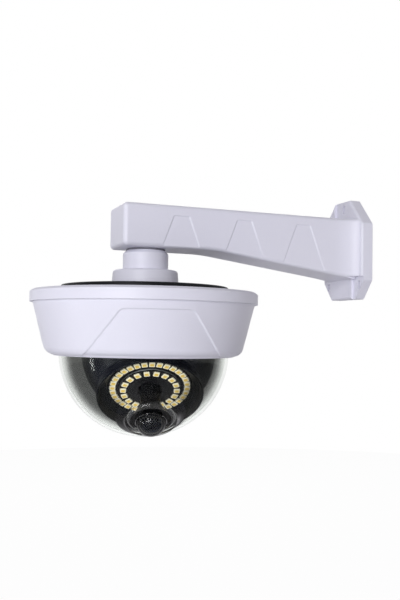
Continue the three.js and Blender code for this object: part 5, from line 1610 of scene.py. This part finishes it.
@dataclass
class Liner:
    """The black bowl behind the dome, with the collar and the dish round the lamps."""

    bench: Bench
    radius: float = 62.0
    wall: float = 2.0
    flange_radius: float = 73.0
    flange: float = 1.8
    collar_root: float = 46.0
    collar_lip: float = 47.5
    collar_wall: float = 1.6
    lip: float = 54.0
    lip_lean: float = 2.0
    fillet: float = 2.2
    dish: float = 38.3
    dish_rise: float = 4.0
    sink_reach: float = 40.0
    sink_play: float = 0.25
    board_drop: float = 1.4
    columns: int = 160

    def build(self) -> None:
        """Builds the bowl from the dish's rim out over the collar and up to the flange."""
        bench = self.bench
        back = bench.dome.matrix.inverted() @ bench.eye.matrix
        angles = around(self.columns)
        sink = bench.points(bench.eye, "lamp_heatsink")
        sink_rim = max(point.z for point in sink if point.xy.length > self.sink_reach) + self.sink_play
        board = bench.reach(bench.eye, "outer_lamp_board")[1].z - self.board_drop
        low = bench.reach(bench.dome, "liner_bowl")[1].z - self.flange
        meet = math.sqrt(self.radius**2 - self.collar_root**2)
        inner = self.radius - self.wall
        beyond = self.collar_root + self.fillet + 0.3
        beyond_height = math.sqrt(self.radius**2 - beyond**2)
        front = [
            (self.dish, board, 0.4), (self.collar_root - self.collar_wall, board + self.dish_rise, 1.5),
            (self.collar_lip - self.collar_wall, self.lip, 0.6), (self.collar_lip, self.lip, 0.6),
            (self.collar_root, meet, self.fillet), (beyond, beyond_height, 0),
        ]
        inside_meet = math.sqrt(inner**2 - self.collar_root**2)
        behind = [(self.collar_root, inside_meet, 0), (self.collar_root - 0.2, sink_rim, 0.3),
                  (self.dish, sink_rim, 0.3), (self.dish, board - 0.5, 0)]

        drop = math.tan(math.radians(self.lip_lean))
        dish_rim = board + self.dish_rise

        def ring(spoke: float, height: float) -> list[Vector]:
            """A ring round the eye's axis, in the dome's frame, with the lip leaning back at its top."""
            share = min(1.0, max(0.0, (height - dish_rim) / (self.lip - dish_rim)))
            points = []
            for angle in angles:
                aside, up = spoke * math.cos(angle), spoke * math.sin(angle)
                points.append(back @ Vector((aside, up, height - share * drop * (up + self.collar_lip))))
            return points

        start = [(self.dish, board - 0.5, 0), *front]
        rows = [ring(*point) for point in rounded(start, 6, closed=False)]
        centre = back.translation
        out = (back.to_3x3() @ Vector((0, 0, 1))).normalized()
        rows += up_the_ball(rows[-1], out, centre, self.radius, low, 40)
        top = low + self.flange
        rows.append(level_ring(rows[-1], Vector((0, 0, 0)), self.flange_radius, low))
        rows.append(level_ring(rows[-1], Vector((0, 0, 0)), self.flange_radius, top))
        inner_start = ring(*behind[0][:2])
        inner_rows = up_the_ball(inner_start, out, centre, inner, top, 30)
        rows += list(reversed(inner_rows))
        rows += [ring(*point) for point in rounded(behind, 4, closed=False)[:-1]]
        screws = Screws(bench, "liner_screw", bench.dome, Body.TURRET)
        shell = carve(rows_mesh(rows), screws.holes(low - 1, top + 1))
        bench.put("liner_shell", "liner_bowl", shell, bench.dome, Paint.LINER, body=Body.TURRET)
        screws.build()


@dataclass
class Lamps:
    """The two stepped rings of lamps on their heat sink."""

    bench: Bench
    lamp: float = 5.0
    lamp_height: float = 1.4
    pad: float = 0.45
    pad_pitch: float = 1.6
    pad_middle: float = 0.25
    pad_reach: float = 0.35
    window: float = 3.5
    window_depth: float = 0.35
    window_corner: float = 0.6
    board_edge: float = 0.2
    outer_lamps: int = 32
    inner_lamps: int = 18
    fins: int = 24
    first_fin: float = 10.0
    fin_margin: float = 3.0
    groove_half: float = 0.9
    groove_depth: float = 1.6
    first_lamp: float = 90.0

    def package(self) -> tuple[Mesh, Mesh, Mesh]:
        """A lamp's ivory body, its yellow face and its tinned pads, standing on 0."""
        half = self.lamp / 2
        body = block((-half, -half, 0), (half, half, self.lamp_height), 0.25)
        reach = self.window / 2
        corners = [(-reach, -reach), (reach, -reach), (reach, reach), (-reach, reach)]
        top = self.lamp_height
        levels = [(top + 0.2, -0.25), (top, -0.1), (top - self.window_depth, 0.3)]
        window = tiers(corners, levels, self.window_corner)
        low = top - self.window_depth - 0.1
        face = tiers(corners, [(low, 0.1), (top - 0.12, 0.06)], self.window_corner)
        pads = []
        for side in (-1, 1):
            middle = side * (half + self.pad_middle)
            for step in (-1, 0, 1):
                row = step * self.pad_pitch
                low_corner = (middle - self.pad_reach, row - self.pad, -0.02)
                high_corner = (middle + self.pad_reach, row + self.pad, 0.16)
                pads.append(block(low_corner, high_corner, 0.06))
        return carve(body, [window]), face, merged(pads)

    def ring(self, node: str, count: int, start: float) -> Mesh:
        """A board with its lamps.

        Args:
            node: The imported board.
            count: How many lamps it carries.
            start: Where the first lamp stands, in degrees.

        Returns:
            The mesh, with the slots board, body, face and pads.
        """
        eye = self.bench.eye
        inner, outer, low, high = self.bench.ring(eye, node)
        face = high - self.lamp_height
        lamp_points = [point for point in self.bench.points(eye, node) if point.z > high - 0.1]
        circle = sum(point.xy.length for point in lamp_points) / len(lamp_points)
        meshes = [washer(inner, outer, low, face, self.board_edge)]
        slots = [0]
        shapes = self.package()
        for angle in around(count, start):
            where = Matrix.Rotation(angle, 4, "Z") @ Matrix.Translation((circle, 0, face))
            for slot, shape in enumerate(shapes, start=1):
                meshes.append(moved(shape, where))
                slots.append(slot)
        return merged(meshes, slots)

    def sink(self) -> Mesh:
        """The stepped heat sink, with grooves behind and screw holes."""
        eye = self.bench.eye
        bore, radius, low, high = self.bench.ring(eye, "lamp_heatsink")
        points = self.bench.points(eye, "lamp_heatsink")
        flange_top = min(point.z for point in points if point.z > low + 0.5)
        step_radius = max(point.xy.length for point in points if point.z > flange_top + 0.5)
        inner_step = max(point.xy.length for point in points if point.z > high - 0.1)
        step = self.bench.reach(eye, "outer_lamp_board")[0].z - 0.3
        corners = [
            (bore, low, 0.4), (radius, low, 0.5), (radius, flange_top, 0.4), (step_radius, flange_top, 0.4),
            (step_radius, step, 0.3), (inner_step, step, 0.2), (inner_step, high, 0.3), (bore, high, 0.3),
        ]
        screws = Screws(self.bench, "heatsink_screw", eye, Body.TURRET, head_down=True)
        grooves = []
        near, far, half = bore + self.fin_margin, step_radius - self.fin_margin, self.groove_half
        tool = block((near, -half, low - 1), (far, half, low + self.groove_depth), 0.1)
        for angle in around(self.fins, self.first_fin):
            grooves.append(moved(tool, Matrix.Rotation(angle, 4, "Z")))
        screws.build()
        return carve(lathe(rounded(corners, 4)), [*screws.holes(low - 1, flange_top + 1), *grooves])

    def build(self) -> None:
        """Puts the lamps and the sink on the turret."""
        put, eye = self.bench.put, self.bench.eye
        paints = [Paint.BLACK_BOARD, Paint.LAMP_BODY, Paint.LAMP_FACE, Paint.SILVER_PAD]
        rings = [
            ("outer_lamps", "outer_lamp_board", self.outer_lamps, self.first_lamp),
            ("inner_lamps", "inner_lamp_board", self.inner_lamps, self.first_lamp + 180 / self.inner_lamps),
        ]
        for name, node, count, start in rings:
            put(name, node, self.ring(node, count, start), eye, *paints, body=Body.TURRET)
        put("lamp_sink", "lamp_heatsink", self.sink(), eye, Paint.ALUMINIUM, body=Body.TURRET)


@dataclass
class Eye:
    """The lens with its hood and glasses."""

    bench: Bench
    hood_wall: float = 1.2
    hood_lip: float = 0.5
    stem_pitch: float = 0.5
    stem_groove: float = 0.2
    grip_teeth: int = 48
    grip_depth: float = 0.25
    grip_ends: Pair = (2.5, 3.0)
    grip_start: float = 0.05
    barrel_edge: float = 0.5
    barrel_chamfer: float = 0.4
    mouth_rim: float = 0.7
    glass_play: float = 0.3
    front_bulge: float = 2.2
    rear_bulge: float = 0.8

    def hood(self) -> Mesh:
        """The black hood that flares towards the nose."""
        inner, rim, low, high = self.bench.ring(self.bench.eye, "lens_hood")
        wall, lip = self.hood_wall, self.hood_lip
        corners = [(inner, low, lip), (inner + wall, low, lip), (rim, high, lip), (rim - wall, high, lip)]
        return lathe(rounded(corners, 4), FINE)

    def barrel(self) -> Mesh:
        """The lens barrel: a threaded stem and a ribbed head with a stepped mouth."""
        eye = self.bench.eye
        _, head, low, high = self.bench.ring(eye, "lens_barrel")
        points = self.bench.points(eye, "lens_barrel")
        shoulder = min(point.z for point in points if point.xy.length > head - 0.1)
        stem = max(point.xy.length for point in points if point.z < low + 0.5)
        bore = min(point.xy.length for point in points)
        _, rear, _, rear_high = self.bench.ring(eye, "rear_glass")
        _, front, front_low, _ = self.bench.ring(eye, "front_glass")
        grip_low, grip_high = shoulder + self.grip_ends[0], high - self.grip_ends[1]
        edge, chamfer, rim, play = self.barrel_edge, self.barrel_chamfer, self.mouth_rim, self.glass_play
        start, neck = self.grip_start, head - self.grip_depth
        side = [(stem, low + chamfer), *climbing(stem, low + edge, shoulder - chamfer, self.stem_pitch / 6)]
        profile = [
            (rear + play, low), (stem - chamfer, low), *side, (stem, shoulder), (head - edge, shoulder),
            (head, shoulder + edge), (head, grip_low), (head, grip_low + start), (head, grip_high - start),
            (head, grip_high), (neck, grip_high + self.grip_depth), (neck, high - edge), (head - rim, high),
            (front + rim, high), (front + play, high - chamfer), (front + play, front_low - play),
            (bore, front_low - play), (bore, rear_high + play), (rear + play, rear_high + play),
        ]
        cut = thread(self.stem_pitch, self.stem_groove, low + edge, shoulder - chamfer, stem)

        def warp(far: float, height: float, angle: float) -> float:
            """The stem's thread and the head's ribs."""
            if abs(far - head) < WELD and grip_low < height < grip_high:
                return far - self.grip_depth * (0.5 + 0.5 * math.cos(angle * self.grip_teeth))
            return cut(far, height, angle)

        return lathe(profile, self.grip_teeth * 4, warp)

    def glass(self, node: str, bulge: float) -> Mesh:
        """A lens glass with a domed front."""
        _, radius, low, high = self.bench.ring(self.bench.eye, node)
        dome = [(radius * math.cos(turn), high - bulge + bulge * math.sin(turn))
                for turn in evenly(0, math.pi / 2, 16)]
        return lathe([(0, low), (radius, low), *dome], BORE)

    def build(self) -> None:
        """Puts the hood, the barrel and its glasses."""
        put, eye = self.bench.put, self.bench.eye
        put("hood_shell", "lens_hood", self.hood(), eye, Paint.HOOD, body=Body.TURRET)
        put("lens_body", "lens_barrel", self.barrel(), eye, Paint.BLACK, body=Body.LENS)
        for side, bulge in (("front", self.front_bulge), ("rear", self.rear_bulge)):
            node = f"{side}_glass"
            put(f"{side}_lens", node, self.glass(node, bulge), eye, Paint.LENS, body=Body.LENS)


@dataclass
class Rings:
    """The seals and flat rings, each turned with broken edges and the holes of its screws."""

    bench: Bench
    edge: float = 0.4

    def build(self) -> None:
        """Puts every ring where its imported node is."""
        bench = self.bench
        rim, dome = bench.rim, bench.dome
        dome_screws = Screws(bench, "dome_screw", dome, Body.TURRET)
        liner_screws = Screws(bench, "liner_screw", dome, Body.TURRET)
        retainer_screws = Screws(bench, "retainer_screw", rim)
        rings = [
            ("housing_seal", "seam_gasket", rim, Paint.RUBBER, Body.ROOT, []),
            ("slide_ring", "glide_ring", rim, Paint.BLACK, Body.ROOT, []),
            ("hold_ring", "turret_retainer", rim, Paint.STEEL, Body.ROOT, [retainer_screws]),
            ("clamp_seal", "dome_seal", dome, Paint.RUBBER, Body.TURRET, [dome_screws]),
            ("carrier_ring", "turret_ring", dome, Paint.BLACK, Body.TURRET, [dome_screws, liner_screws]),
        ]
        for name, node, place, paint, body, families in rings:
            inner, outer, low, high = bench.ring(place, node)
            tools = [hole for family in families for hole in family.holes(low - 1, high + 1)]
            if node == "turret_ring":
                tools += dome_screws.head_holes(high + 1)
            shape = washer(inner, outer, low, high, self.edge, RIM)
            bench.put(name, node, carve(shape, tools) if tools else shape, place, paint, body=body)
        dome_screws.build()
        retainer_screws.build()


@dataclass
class Electronics:
    """The main board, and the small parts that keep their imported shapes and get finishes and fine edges."""

    bench: Bench

    def board(self) -> Mesh:
        """The round main board with a hole for each screw."""
        rim = self.bench.rim
        _, radius, low, high = self.bench.ring(rim, "main_board")
        screws = Screws(self.bench, "board_screw", rim, head_down=True)
        profile = [(0, low, 0), (radius, low, 0.2), (radius, high, 0.2), (0, high, 0)]
        return carve(lathe(rounded(profile, 2, closed=False)), screws.holes(low - 1, high + 1))

    def build(self) -> None:
        """Puts the main board and dresses the rest."""
        bench = self.bench
        bench.put("round_board", "main_board", self.board(), bench.rim, Paint.GREEN_BOARD)
        Screws(bench, "board_screw", bench.rim, head_down=True).build()
        for number in range(1, 4):
            bench.dress(f"board_spacer_{number}", Paint.BRASS, 0.3)
        dressed = {
            Paint.BLACK: ["processor", "filter_frame", "lens_holder"],
            Paint.ALUMINIUM: ["processor_heatsink"],
            Paint.IVORY: ["cable_header"],
            Paint.GREEN_BOARD: ["sensor_board"],
            Paint.SENSOR: ["image_sensor"],
            Paint.COPPER: ["filter_solenoid"],
            Paint.BRASS: ["sensor_post_1", "sensor_post_2"],
            Paint.FILTER: ["filter_glass"],
        }
        for paint, nodes in dressed.items():
            for node in nodes:
                bench.dress(node, paint)


@dataclass
class Stage:
    """The white room, the lamps and the photo's camera."""

    bench: Bench
    focal: float = 46.35
    sensor: float = 36.0
    eye_point: Corner = (-439.63, -686.92, -52.04)
    heading: float = 21.49
    pitch: float = 2.5606
    roll: float = 0.8784
    floor_drop: float = 0.6
    floor_radius: float = 3.0
    floor_glow: float = 0.97
    sky: float = 0.2
    sky_tint: Colour = (1.0, 0.96, 1.02)

    def floor(self) -> None:
        """A white floor that reads as the photo's white and keeps a faint shadow."""
        steps = 64
        points = [(x, y, -self.floor_drop) for x, y in polygon(self.floor_radius, steps)]
        mesh = mesh_of(points, [tuple(range(steps))])
        made, graph = blank("white_sweep")
        paper = graph.shader(Base_Color=(0.9, 0.9, 0.9), Roughness=0.9)
        glow = graph.add("Emission", None, {"Color": (1, 1, 1), "Strength": 1.0})
        seen = Value(graph, graph.add("LightPath").outputs["Is Camera Ray"])
        share = seen * self.floor_glow
        graph.finish(graph.add("MixShader", None, {0: share, 1: paper.outputs[0], 2: glow.outputs[0]}))
        mesh.materials.append(made)
        sweep = bpy.data.objects.new("white_sweep", mesh)
        bpy.context.scene.collection.objects.link(sweep)
        sweep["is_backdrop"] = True

    def world(self) -> None:
        """A white room to the camera and to gloss, and soft light to the rest."""
        world = bpy.data.worlds.new("white_room")
        world.use_nodes = True
        graph = Graph(world.node_tree)
        paths = graph.add("LightPath")
        seen = Value(graph, paths.outputs["Is Camera Ray"]) + Value(graph, paths.outputs["Is Glossy Ray"])
        seen = seen + Value(graph, paths.outputs["Is Transmission Ray"])
        level = seen * (1 - self.sky) + self.sky
        tint = graph.blend(seen, self.sky_tint, (1, 1, 1))
        room = graph.add("Background", None, {"Color": tint, "Strength": level})
        graph.finish(room, "OutputWorld")
        bpy.context.scene.world = world

    def lamp(
        self, name: str, direction: Corner, distance: float, size: Pair, power: float, tint: Colour
    ) -> None:
        """An area lamp that looks at the camera's middle.

        Args:
            name: The lamp's name.
            direction: Where it stands, seen from the middle.
            distance: How far away, in metres.
            size: Its width and height in metres.
            power: Its power in watts.
            tint: Its colour.
        """
        light = bpy.data.lights.new(name, "AREA")
        light.shape = "RECTANGLE"
        light.size, light.size_y = size
        light.energy = power
        light.color = tint
        lamp = bpy.data.objects.new(name, light)
        middle = self.bench.dome.matrix.translation
        away = Vector(direction).normalized()
        lamp.location = middle + away * distance
        lamp.rotation_euler = away.to_track_quat("Z", "Y").to_euler()
        bpy.context.scene.collection.objects.link(lamp)
        lamp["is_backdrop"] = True

    def camera(self) -> None:
        """The photo's camera."""
        turn, rise, roll = (math.radians(angle) for angle in (self.heading, self.pitch, self.roll))
        ahead = Vector((math.sin(turn) * math.cos(rise), math.cos(turn) * math.cos(rise), math.sin(rise)))
        right = ahead.cross(Vector((0, 0, 1))).normalized()
        up = right.cross(ahead)
        rolled_right = right * math.cos(roll) + up * math.sin(roll)
        rolled_up = up * math.cos(roll) - right * math.sin(roll)
        data = bpy.data.cameras.new("photo_camera")
        data.sensor_width = self.sensor
        data.lens = self.focal
        camera = bpy.data.objects.new("photo_camera", data)
        axes = Matrix((rolled_right, rolled_up, -ahead)).transposed().to_4x4()
        camera.matrix_world = Matrix.Translation(Vector(self.eye_point) * MM) @ axes
        bpy.context.scene.collection.objects.link(camera)
        bpy.context.scene.camera = camera

    def build(self) -> None:
        """Sets the whole stage."""
        self.floor()
        self.world()
        self.lamp("key", (-0.6, -0.785, 0.16), 2.6, size=(1.5, 1.5), power=45.5, tint=(0.96, 0.97, 1.0))
        self.lamp("strip", (-0.945, 0.0, -0.33), 1.5, size=(0.09, 0.65), power=3, tint=(0.95, 0.97, 1.0))
        self.lamp("rear", (0.3, 0.9, 0.4), 2.6, size=(1.5, 1.5), power=14, tint=(0.98, 0.98, 1.0))
        self.lamp("fill", (0.8, -0.6, 0.1), 2.0, size=(1.2, 1.2), power=1.5, tint=(1.0, 0.97, 1.0))
        self.camera()
        scene = bpy.context.scene
        scene.view_settings.view_transform = "Standard"


def main() -> None:
    """Builds every sub-assembly and the stage."""
    logging.basicConfig(level=logging.INFO, format="%(message)s")
    bench = Bench()
    for made in (WallArm, Neck, Roof, Housing, Liner, Dome, Lamps, Eye, Rings, Electronics, Stage):
        made(bench).build()


if __name__ == "__main__":
    main()
